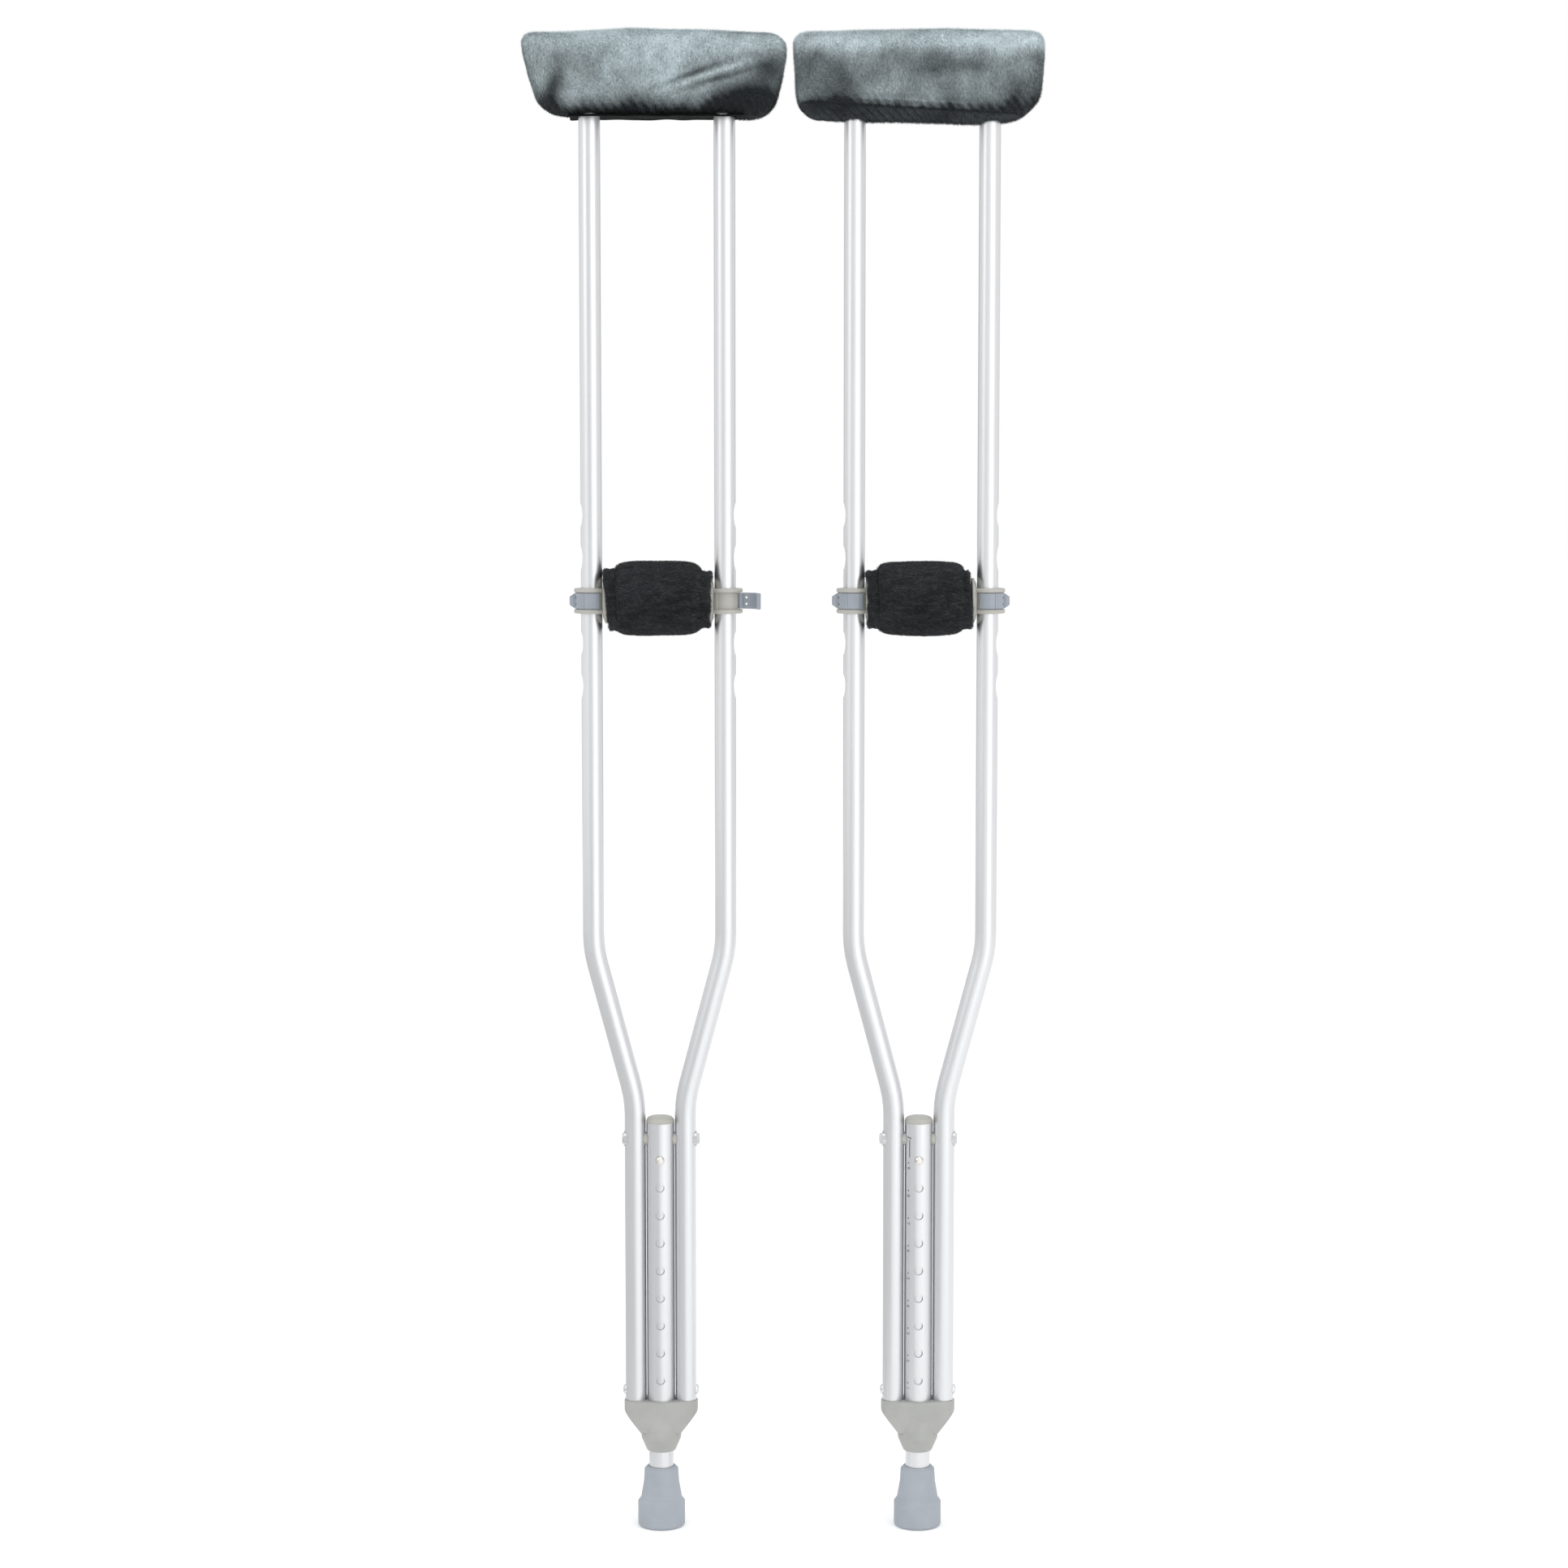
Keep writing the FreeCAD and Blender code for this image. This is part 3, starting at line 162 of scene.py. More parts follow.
class CrutchHardLook(bpy.types.PropertyGroup):
    aluminium: colour_prop("Aluminium", "Satin drawn tube", "#dcdddf")
    grey_nylon: colour_prop("Grey nylon", "Clamps, cap and spacers", "#a8a7a1")
    yoke_nylon: colour_prop("Yoke nylon", "Bracket round the three tubes", "#a1a29f")
    latch_nylon: colour_prop("Latch nylon", "Latches of the handgrip", "#8e959e")
    rubber: colour_prop("Rubber", "Tips", "#9ca2aa")
    ink: colour_prop("Ink", "Printed scale on the centre tube", "#565b60")


class CrutchStageLook(bpy.types.PropertyGroup):
    floor: colour_prop("Floor", "Pale studio floor", "#f4f4f4")
    distance: bpy.props.FloatProperty(name="Camera distance", unit="LENGTH", default=3.150)
    height: bpy.props.FloatProperty(name="Camera height", unit="LENGTH", default=0.995)
    tilt: bpy.props.FloatProperty(name="Camera tilt", subtype="ANGLE", default=math.radians(5.7))
    lens: bpy.props.FloatProperty(name="Lens", description="Focal length in millimetres", default=81.06)


class CrutchLooks(bpy.types.PropertyGroup):
    cushion: bpy.props.PointerProperty(type=CrutchCushionLook)
    grip: bpy.props.PointerProperty(type=CrutchGripLook)
    hard: bpy.props.PointerProperty(type=CrutchHardLook)
    stage: bpy.props.PointerProperty(type=CrutchStageLook)


# ---- materials ---------------------------------------------------------------------------------
def new_material(name):
    """A material with an empty tree."""
    made = bpy.data.materials.new(name)
    made.use_nodes = True
    made.node_tree.nodes.clear()
    return made, made.node_tree


def surfaced(made, inputs):
    """Gives a material its principled surface, and returns the material."""
    shader = add(made.node_tree, "ShaderNodeBsdfPrincipled", inputs)
    add(made.node_tree, "ShaderNodeOutputMaterial", {"Surface": shader.outputs["BSDF"]})
    return made


def object_pattern(tree, scale):
    """Object coordinates multiplied by a scale per axis."""
    where = add(tree, "ShaderNodeTexCoord").outputs["Object"]
    return add(tree, "ShaderNodeMapping", {"Vector": where, "Scale": scale}).outputs["Vector"]


def cloudy(tree, scale, detail, stretch=(1.0, 1.0, 1.0), roughness=0.5):
    """Noise over object coordinates, which may be stretched along an axis."""
    return add(tree, "ShaderNodeTexNoise", {
        "Vector": object_pattern(tree, stretch), "Scale": scale, "Detail": detail,
        "Roughness": roughness}).outputs["Fac"]


def levelled(tree, value, low, high, top=0.7):
    """Noise's middle range spread from low to high."""
    made = add(tree, "ShaderNodeMapRange", {
        "Value": value, "From Min": 0.3, "From Max": top, "To Min": low, "To Max": high})
    return made.outputs["Result"]


def shaded(tree, colour, value):
    """A colour made lighter or darker by a value."""
    return add(tree, "ShaderNodeHueSaturation", {"Value": value, "Color": colour}).outputs["Color"]


def math_node(tree, operation, *values, **settings):
    """A math node's result for up to three values."""
    made = add(tree, "ShaderNodeMath", dict(enumerate(values)), operation=operation, **settings)
    return made.outputs[0]


def fine_bump(tree, height, strength, distance, **under):
    """A bump's normal, over another normal where one is given."""
    return add(tree, "ShaderNodeBump", {
        "Height": height, "Strength": strength, "Distance": distance, **under}).outputs["Normal"]


def satin_aluminium(colour):
    """Drawn aluminium tube, satin anodised: lines along the tube, few marks, soft highlights."""
    made, tree = new_material("satin_anodised_aluminium")
    line = 1 / (0.5 * MM)
    lines = cloudy(tree, 1.0, 2.0, (line, line, 6.0))
    cloud = cloudy(tree, 1.0, 3.0, (30.0, 30.0, 14.0))
    return surfaced(made, {
        "Base Color": shaded(tree, colour, levelled(tree, lines, 0.955, 1.0)), "Metallic": 1.0,
        "Roughness": levelled(tree, cloud, 0.33, 0.39, 0.75),
        "Normal": fine_bump(tree, lines, 0.06, 0.02 * MM)})


def moulded(name, colour, roughness, grain, depth, ior=1.53):
    """Moulded nylon or rubber: fine grain from the mould, edges eased, slight unevenness of tone."""
    made, tree = new_material(name)
    grains = cloudy(tree, 1 / grain, 3.0, roughness=0.6)
    patch = cloudy(tree, 55.0, 3.0)
    eased = add(tree, "ShaderNodeBevel", {"Radius": 0.45 * MM}, samples=4)
    return surfaced(made, {
        "Base Color": shaded(tree, colour, levelled(tree, patch, 0.93, 1.04)),
        "Roughness": levelled(tree, patch, roughness - 0.05, roughness + 0.06), "IOR": ior,
        "Normal": fine_bump(tree, grains, 0.35, depth, Normal=eased.outputs["Normal"])})


def steel(name, colour, roughness):
    """Turned or plated steel: tight highlights, faint turning marks."""
    made, tree = new_material(name)
    marks = cloudy(tree, 1 / (0.8 * MM), 2.0)
    return surfaced(made, {
        "Base Color": colour, "Metallic": 1.0,
        "Roughness": levelled(tree, marks, roughness * 0.8, roughness * 1.25),
        "Normal": fine_bump(tree, marks, 0.05, 0.02 * MM)})


def napped(name, dark, light, fibre, stretch, sheen):
    """Pile fabric: its tone follows the nap attribute, broken up by hairs that may be stretched; the
    attribute carries painted light and shade besides the nap's own tone.
    """
    made, tree = new_material(name)
    nap_and_painted_light = add(tree, "ShaderNodeAttribute", attribute_name="nap_and_painted_light").outputs["Fac"]
    hairs = cloudy(tree, 1 / fibre, 3.0, stretch, 0.7)
    clumps = cloudy(tree, 1 / (7 * fibre), 2.0, (1.0, 1.0, 0.6))
    fine = math_node(tree, "ADD", hairs, -0.5)
    broad = math_node(tree, "ADD", clumps, -0.5)
    gain = math_node(tree, "MULTIPLY_ADD", fine, 2.0, 1.0)
    both = math_node(tree, "MULTIPLY_ADD", broad, 0.8, gain)
    level = math_node(tree, "MULTIPLY", both, nap_and_painted_light, use_clamp=True)
    # the mix from the dark to the light colour paints the light and shade that the attribute carries
    tone = add(tree, "ShaderNodeMix", {0: level, 6: dark, 7: light}, data_type="RGBA")
    return surfaced(made, {
        "Base Color": tone.outputs[2], "Roughness": 0.92, "Specular IOR Level": 0.2,
        "Sheen Weight": sheen, "Sheen Roughness": 0.45, "Normal": fine_bump(tree, hairs, 0.5, 0.4 * MM)})


def woven(name, colour, thread):
    """Plain-woven lining: warp and weft ribs, matt."""
    made, tree = new_material(name)
    pitch = 1 / (2 * thread)
    waves = [add(tree, "ShaderNodeTexWave", {
        "Vector": object_pattern(tree, (pitch, pitch, pitch)), "Scale": 1.0, "Distortion": 1.5},
        bands_direction=axis).outputs["Fac"] for axis in ("X", "Y")]
    weave = math_node(tree, "MAXIMUM", *waves)
    shade = add(tree, "ShaderNodeMapRange", {"Value": weave, "To Min": 0.7, "To Max": 1.3})
    return surfaced(made, {
        "Base Color": shaded(tree, colour, shade.outputs["Result"]), "Roughness": 0.9,
        "Specular IOR Level": 0.15, "Normal": fine_bump(tree, weave, 0.5, 0.15 * MM)})


def ink(colour):
    """Screen-printed ink, slightly worn."""
    made, tree = new_material("screen_printed_ink")
    wear = cloudy(tree, 1 / (0.6 * MM), 3.0)
    return surfaced(made, {
        "Base Color": shaded(tree, colour, levelled(tree, wear, 0.8, 1.5)), "Roughness": 0.5})


def floor_paper(colour):
    """Seamless studio paper that glows a little, so that it stays pale."""
    made, tree = new_material("studio_paper")
    grain = cloudy(tree, 300.0, 2.0)
    return surfaced(made, {
        "Base Color": colour, "Roughness": 0.9, "Specular IOR Level": 0.1,
        "Emission Color": colour, "Emission Strength": 0.14,
        "Normal": fine_bump(tree, grain, 0.05, 0.1 * MM)})


# ---- pile, by geometry nodes -------------------------------------------------------------------
def pile_tree(name):
    """Scatters three-sided hairs that follow a surface's lean and stray from its nap's tone, which
    carries painted light and shade.
    """
    tree = bpy.data.node_groups.new(name, "GeometryNodeTree")
    for label, kind in (("Surface", "Geometry"), ("Count per m2", "Float"), ("Length", "Float"),
                        ("Width", "Float"), ("Unevenness", "Float"), ("Tone spread", "Float"),
                        ("Seed", "Int"), ("Finish", "Material")):
        tree.interface.new_socket(name=label, in_out="INPUT", socket_type="NodeSocket" + kind)
    tree.interface.new_socket(name="Pile", in_out="OUTPUT", socket_type="NodeSocketGeometry")
    given = add(tree, "NodeGroupInput").outputs
    points = add(tree, "GeometryNodeDistributePointsOnFaces", {
        "Mesh": given["Surface"], "Density": given["Count per m2"], "Seed": given["Seed"]})
    lean = add(tree, "GeometryNodeInputNamedAttribute", {"Name": "lean"}, data_type="FLOAT_VECTOR")
    stray = add(tree, "FunctionNodeRandomValue", {0: (-1, -1, -1), 1: (1, 1, 1), "Seed": given["Seed"]},
                data_type="FLOAT_VECTOR")
    strayed = add(tree, "ShaderNodeVectorMath", {0: stray.outputs[0], "Scale": given["Unevenness"]},
                  operation="SCALE")
    bent = add(tree, "ShaderNodeVectorMath", {0: lean.outputs["Attribute"], 1: strayed.outputs[0]},
               operation="ADD")
    aim = add(tree, "ShaderNodeVectorMath", {0: points.outputs["Normal"], 1: bent.outputs[0]},
              operation="ADD")
    turn = add(tree, "FunctionNodeAlignEulerToVector", {"Vector": aim.outputs[0]}, axis="Z")
    size = add(tree, "FunctionNodeRandomValue", {2: 0.65, 3: 1.15, "Seed": given["Seed"]},
               data_type="FLOAT")
    half = math_node(tree, "MULTIPLY", given["Width"], 0.5)
    hair = add(tree, "GeometryNodeMeshCone", {
        "Vertices": 3, "Radius Top": 0.0, "Radius Bottom": half, "Depth": given["Length"]},
        fill_type="NONE")
    nap_and_painted_light = add(tree, "GeometryNodeInputNamedAttribute", {"Name": "nap_and_painted_light"},
              data_type="FLOAT").outputs["Attribute"]
    chance = add(tree, "FunctionNodeRandomValue", {2: -1.0, 3: 1.0, "Seed": given["Seed"]},
                 data_type="FLOAT")
    room = math_node(tree, "ADD", nap_and_painted_light, 0.12)
    swing = math_node(tree, "MULTIPLY", chance.outputs[1], given["Tone spread"])
    toned = math_node(tree, "MULTIPLY_ADD", swing, room, nap_and_painted_light)
    marked = add(tree, "GeometryNodeStoreNamedAttribute", {
        "Geometry": points.outputs["Points"], "Name": "nap_and_painted_light", "Value": toned},
        data_type="FLOAT", domain="POINT")
    placed = add(tree, "GeometryNodeInstanceOnPoints", {
        "Points": marked.outputs[0], "Instance": hair.outputs["Mesh"], "Rotation": turn.outputs[0],
        "Scale": size.outputs[1]})
    real = add(tree, "GeometryNodeRealizeInstances", {"Geometry": placed.outputs[0]})
    finish = add(tree, "GeometryNodeSetMaterial", {
        "Geometry": real.outputs[0], "Material": given["Finish"]})
    add(tree, "NodeGroupOutput", {"Pile": finish.outputs[0]})
    return tree


def grow_pile(surface, name, body, settings, material, seed):
    """Grows a piece of hairs on a finished surface piece, by the pile tree's named inputs."""
    area = sum(face.area for face in surface.data.polygons)
    base = bpy.data.objects.new("pile_base", surface.data.copy())
    bpy.context.scene.collection.objects.link(base)
    tree = pile_tree("pile_on_" + surface.name)
    modifier = base.modifiers.new("Pile", "NODES")
    modifier.node_group = tree
    values = {"Count per m2": settings["count"] / area, "Length": settings["length"],
              "Width": settings["width"], "Unevenness": settings["unevenness"],
              "Tone spread": settings["spread"], "Seed": seed, "Finish": material}
    for item in tree.interface.items_tree:
        if item.in_out == "INPUT" and item.name in values:
            modifier[item.identifier] = values[item.name]
    mesh = plain_mesh(base, name)
    bpy.data.objects.remove(base)
    return new_piece(name, mesh, body)


# ---- padded pieces -----------------------------------------------------------------------------
def rounded_block(half, low_radii, high_radii, cells):
    """A closed block of even cells whose edges are rounded by other radii below than above."""
    shape = bmesh.new()
    bmesh.ops.create_cube(shape, size=2.0)
    bmesh.ops.subdivide_edges(shape, edges=shape.edges[:], cuts=cells, use_grid_fill=True)
    for vertex in shape.verts:
        radii = high_radii if vertex.co.z > 0 else low_radii
        wide = [vertex.co[i] * half[i] for i in range(3)]
        core = [min(half[i] - radii[i], max(radii[i] - half[i], wide[i])) for i in range(3)]
        away = Vector((wide[i] - core[i]) / radii[i] for i in range(3))
        if away.length > 1e-9:
            away.normalize()
        vertex.co = Vector(core[i] + away[i] * radii[i] for i in range(3))
    return shape


def along(points, t):
    """A smooth curve's value at t through (t, value) points."""
    for (t0, v0), (t1, v1) in zip(points, points[1:]):
        if t <= t1:
            return v0 + (v1 - v0) * blend01(t0, t1, t)
    return points[-1][1]


def inflated(mesh, name, voxel, pressure, cap, held, steps=20):
    """Remeshes a closed form, swells it as cloth, and holds the points that held(co) picks."""
    made = bpy.data.objects.new(name, mesh)
    bpy.context.scene.collection.objects.link(made)
    remesh = made.modifiers.new("Remesh", "REMESH")
    remesh.mode = "VOXEL"
    remesh.voxel_size = voxel
    made.data = plain_mesh(made, name)
    made.modifiers.remove(made.modifiers["Remesh"])
    start = [vertex.co.copy() for vertex in made.data.vertices]
    group = made.vertex_groups.new(name="hold")
    for vertex in made.data.vertices:
        group.add([vertex.index], held(vertex.co), "REPLACE")
    cloth = made.modifiers.new("Swell", "CLOTH")
    cloth.settings.quality = 6
    cloth.settings.use_pressure = True
    cloth.settings.uniform_pressure_force = pressure
    cloth.settings.effector_weights.gravity = 0
    cloth.settings.vertex_group_mass = "hold"
    cloth.settings.tension_stiffness = 25
    cloth.settings.compression_stiffness = 25
    cloth.settings.bending_stiffness = 2
    for step in range(1, steps + 1):
        bpy.context.scene.frame_set(step)
    swollen = plain_mesh(made, name)
    made.modifiers.remove(cloth)
    for vertex, origin in zip(swollen.vertices, start):
        move = vertex.co - origin
        if move.length > cap:
            vertex.co = origin + move * (cap / move.length)
    made.data = swollen
    made.vertex_groups.clear()
    bpy.context.scene.frame_set(1)
    return made


def refined(made, levels):
    """Applies one or more rounds of subdivision."""
    modifier = made.modifiers.new("Refine", "SUBSURF")
    modifier.levels = modifier.render_levels = levels
    mesh = plain_mesh(made, made.name)
    made.modifiers.remove(modifier)
    made.data = mesh


def soft_spot(x, z, spot):
    """1 in the middle of a (x, z, half-length, half-height, turn) spot, falling to 0 outside it."""
    turn = math.radians(spot[4])
    dx, dz = x - spot[0] * MM, z - spot[1] * MM
    lengthways = (dx * math.cos(turn) + dz * math.sin(turn)) / (spot[2] * MM)
    crossways = (dz * math.cos(turn) - dx * math.sin(turn)) / (spot[3] * MM)
    return math.exp(-(lengthways * lengthways + crossways * crossways))


def set_attribute(mesh, name, kind, values):
    """Stores one value for each vertex."""
    if name in mesh.attributes:
        mesh.attributes.remove(mesh.attributes[name])
    layer = mesh.attributes.new(name, kind, "POINT")
    field = "vector" if kind == "FLOAT_VECTOR" else "value"
    flat = [c for v in values for c in v] if kind == "FLOAT_VECTOR" else values
    layer.data.foreach_set(field, flat)


# Each cushion was tugged a little differently. Sizes are in millimetres from its middle and its foot:
# where its two ends stand at shares of its height, how far its top swells and its lower edge rises along
# its length, how high the low band of gathers and painted shade under the cushion reaches, whether a
# seamed hem runs along the foot, the nap's middle tone, and soft spots of lighter or darker tone (x,
# height, half-length, half-height, turn in degrees, tone), partly the nap's own patches and partly
# painted light and shade. A spot narrower than FOLD_HALF_HEIGHT is a fold as well: its darker tone is
# painted shade in the crease and its lighter tone a painted highlight on the ridge. "noise" picks its
# unevenness.
CUSHION_SHAPES = {
    "left": {
        "ends": (((0, -104), (0.25, -110.5), (0.55, -116), (0.8, -120.5), (1, -123.5)),
                 ((0, 105), (0.25, 110), (0.55, 114), (0.8, 116.5), (1, 116))),
        "top": ((-122, 1.6), (-112, 0.8), (-88, -1.8), (-50, 0.8), (-12, 2.4), (40, 1.6), (99, -0.6),
                (113, -1.4)),
        "foot": ((-104, 4.6), (-72, 3.2), (-66, 4.0), (-59, 6.0), (-52, 4.6), (0, 4.6), (52, 4.2),
                 (59, 5.2), (66, 3.0), (72, 1.2), (96, 1.6), (106, 4.0)),
        "band": ((-120, 19), (-60, 20), (20, 21), (60, 24), (90, 27), (120, 29)),
        "seam": 0.0,
        "base": 0.47,
        "noise": 1.0,
        "spots": ((-88, 32, 8, 13, -15, -0.42), (-98, 20, 12, 8, 0, -0.25), (-70, 30, 12, 12, 0, 0.14),
                  (30, 39, 34, 3.0, 20, -0.40), (52, 35, 36, 3.0, 16, -0.36),
                  (100, 42, 14, 22, 10, -0.30), (78, 28, 36, 11, 12, -0.22), (-20, 52, 62, 16, 0, 0.20),
                  (70, 62, 34, 8, 8, 0.16), (10, 34, 34, 7, 0, 0.12), (-95, 60, 18, 9, 0, -0.10),
                  (60, 44, 26, 2.4, 18, 0.18))},
    "right": {
        "ends": (((0, -111), (0.25, -113.5), (0.55, -114), (0.8, -116), (1, -117)),
                 ((0, 98), (0.2, 106), (0.55, 107.5), (0.8, 109), (1, 109.5))),
        "top": ((-114, 1.0), (-60, -1.0), (-15, 1.4), (13, 1.8), (100, 1.4), (110, 0.6)),
        "foot": ((-104, 0.0), (-80, -0.6), (0, -0.8), (64, -2.6), (78, -1.0), (104, 7.0)),
        "band": ((-110, 19), (-60, 22), (0, 19), (66, 17), (84, 24), (110, 25)),
        "seam": 1.0,
        "base": 0.36,
        "noise": 7.0,
        "spots": ((42, 47, 20, 6, 0, -0.22), (10, 43, 14, 6, 0, -0.14), (88, 28, 20, 12, 20, -0.30),
                  (-72, 30, 14, 16, 55, -0.16), (-100, 36, 12, 18, 0, -0.12), (-70, 66, 50, 8, 0, 0.46),
                  (60, 69, 60, 7, 0, 0.46), (74, 62, 12, 8, 0, 0.12), (100, 56, 9, 12, 0, -0.14),
                  (-20, 30, 34, 9, 0, 0.06), (-10, 18, 50, 1.2, -3, 0.12))},
}
FOLD_HALF_HEIGHT = 3.5

# A cushion starts as a block. Its edge radii are lengths along X and Y, and shares of its height along Z.
BLOCK_HALF_LENGTH = 115 * MM
BLOCK_CELLS = 22
LOW_RADII = (17 * MM, 24 * MM, 0.24)
HIGH_RADII = (8 * MM, 27 * MM, 0.13)
FOOT_WIDTH = 0.84
FOOT_TAPER = 0.16

# How deep each kind of unevenness is pressed into a cushion, and how far apart its ripples are.
ROLL_DEPTH = 1.5 * MM
FOLD_DEPTH = 4.5 * MM
GATHER_DEPTH = 0.55 * MM
GATHER_PITCH = 1.35 * MM
PLEAT_DEPTH = 0.9 * MM
PLEAT_PITCH = 1.27 * MM
SEAM_DEPTH = 1.3 * MM
SEAM_WIDTH = 1.1 * MM
# The darkest tone, reached in the painted shade under the cushion.
DARKEST_PAINTED_SHADE = 0.015


def cushion_surface(side):
    """The cushion's plush skin: a block drawn to its outline, swollen as cloth, then creased."""
    low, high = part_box(f"{side}_underarm_cover")
    middle = (low + high) / 2
    plan = CUSHION_SHAPES[side]
    settings = look().cushion
    margin = settings.start_margin
    half = Vector((BLOCK_HALF_LENGTH, (high.y - low.y) / 2 - margin - 1.5 * MM, 0.5))
    height = high.z - low.z - 2 * margin
    shape = rounded_block(half, LOW_RADII, HIGH_RADII, BLOCK_CELLS)
    for vertex in shape.verts:
        v = vertex.co.z + 0.5
        left, right = (along(points, v) * MM for points in plan["ends"])
        u = (vertex.co.x / half.x + 1) / 2
        x = left + margin + (right - left - 2 * margin) * u
        foot = along(plan["foot"], x / MM) * MM
        top = along(plan["top"], x / MM) * MM
        z = low.z + margin * 0.6 + foot + (height + margin * 0.4 + top - foot) * v
        y = vertex.co.y * (FOOT_WIDTH + FOOT_TAPER * blend01(0.0, 0.5, v))
        vertex.co = Vector((middle.x + x, middle.y + y, z))
    mesh = bpy.data.meshes.new(f"{side}_cushion")
    shape.to_mesh(mesh)
    shape.free()
    grip_z = low.z + 8 * MM

    def held(co):
        return 1.0 - blend01(grip_z, grip_z + 10 * MM, co.z)

    made = inflated(mesh, f"{side}_cushion", settings.voxel, settings.pressure, settings.cap, held)
    refined(made, 2)
    crease_cushion(made.data, middle.x, low.z, plan)
    return made


def crease_cushion(mesh, axis_x, foot_z, plan):
    """Gathers along the lower edge, pulled folds on the faces, and the nap's tone and direction; the tone
    carries painted shade under the cushion and in gathers, folds, pleats and the seam, and painted light
    on top.
    """
    normals = [vertex.normal.copy() for vertex in mesh.vertices]
    tones, leans = [], []
    seed = Vector((plan["noise"] * 10, plan["noise"] * 3, 0))
    for vertex, normal in zip(mesh.vertices, normals):
        x, z = vertex.co.x - axis_x, vertex.co.z - foot_z
        face = abs(normal.y)
        rolling = noise.noise(vertex.co * 21 + seed)
        band = along(plan["band"], x / MM) * MM
        wander = 4.5 * MM * noise.noise(Vector((x * 70, vertex.co.y * 30, 0)) + seed)
        low_share = 1 - blend01(band * 0.4, band * 1.3, z + wander)
        phase = x / GATHER_PITCH + z / (1.9 * MM) + 3.0 * noise.noise(vertex.co * 34 + seed)
        gather = math.sin(phase) * low_share * blend01(0.0, 5 * MM, z) * face
        folds = sum(spot[5] * soft_spot(x, z, spot) for spot in plan["spots"]
                    if spot[3] < FOLD_HALF_HEIGHT)

        # the hem lies below its seam, and only its left half is pleated
        seam_z = (10.5 - 0.055 * x / MM) * MM
        hem = plan["seam"] * min(1.0, face + max(0.0, -normal.z))
        hem *= 1 - blend01(seam_z - 1.2 * MM, seam_z, z)
        pleat = max(0.0, math.sin(x / PLEAT_PITCH + z / (1.1 * MM))) ** 4
        pleat *= blend01(-105 * MM, -80 * MM, x)
        pleat *= 1 - 0.7 * blend01(-12 * MM, 5 * MM, x)
        seam = plan["seam"] * math.exp(-((z - seam_z) / SEAM_WIDTH) ** 2) * face
        gather *= 1 - 0.8 * hem
        push = -PLEAT_DEPTH * pleat * hem + GATHER_DEPTH * gather + ROLL_DEPTH * rolling
        push += FOLD_DEPTH * folds * face - SEAM_DEPTH * seam
        vertex.co += normal * push

        # the spots' tone is partly the nap's own patches and partly painted light and shade; a fold's
        # darker tone is painted shade in its crease and its lighter tone a painted highlight on its ridge
        spots = sum(spot[5] * soft_spot(x, z, spot) for spot in plan["spots"])
        patches = 0.20 * noise.noise(vertex.co * 19 + seed) + 0.17 * noise.noise(vertex.co * 55 + seed)
        tone = plan["base"] + spots + patches * (1 - 0.35 * low_share)
        # painted shade: the low band under the cushion is darkened almost to the darkest tone, and the
        # gathers' troughs are darker than their crests
        tone -= (plan["base"] + DARKEST_PAINTED_SHADE) * low_share - 0.07 * gather
        # painted light on the cushion's top, and painted shade in the seam's groove
        tone += 0.25 * blend01(52 * MM, 72 * MM, z) - 0.3 * seam
        # the hem's tone is set low, with painted shade in its pleats
        tone += (0.04 - 0.05 * pleat + 0.2 * patches - tone) * hem
        tones.append(min(1.0, max(DARKEST_PAINTED_SHADE, tone)))
        lean = Vector((0.3, 0, -1.0)) + noise.noise_vector(vertex.co * 14 + seed) * 2.6
        leans.append(lean - normal * lean.dot(normal))
    set_attribute(mesh, "nap_and_painted_light", "FLOAT", tones)
    set_attribute(mesh, "lean", "FLOAT_VECTOR", leans)
    smooth(mesh)


# The linings: how far each sheet's edges stand inside its box along X and Y, and the noise they fray by.
LININGS = (("left", (14 * MM, 0.0), 0), ("right", (12 * MM, 14 * MM), 3))
LINING_LIFT = 4.4 * MM
LINING_WALL = 1.5 * MM
LINING_CELL = 2.4 * MM
RAIL_PLAY = 1.1 * MM


def rail_runs(side):
    """Each rail's radius and where its upper run stands along X: its outer face is its box's."""
    tube_low, tube_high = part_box(f"{side}_centre_tube")
    centre = (tube_low.x + tube_high.x) / 2
    runs = []
    for place in ("outer", "inner"):
        low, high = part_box(f"{side}_{place}_rail")
        radius = (high.y - low.y) / 2
        outer = high.x if abs(high.x - centre) > abs(low.x - centre) else low.x
        runs.append((radius, outer - math.copysign(radius, outer - centre)))
    return runs


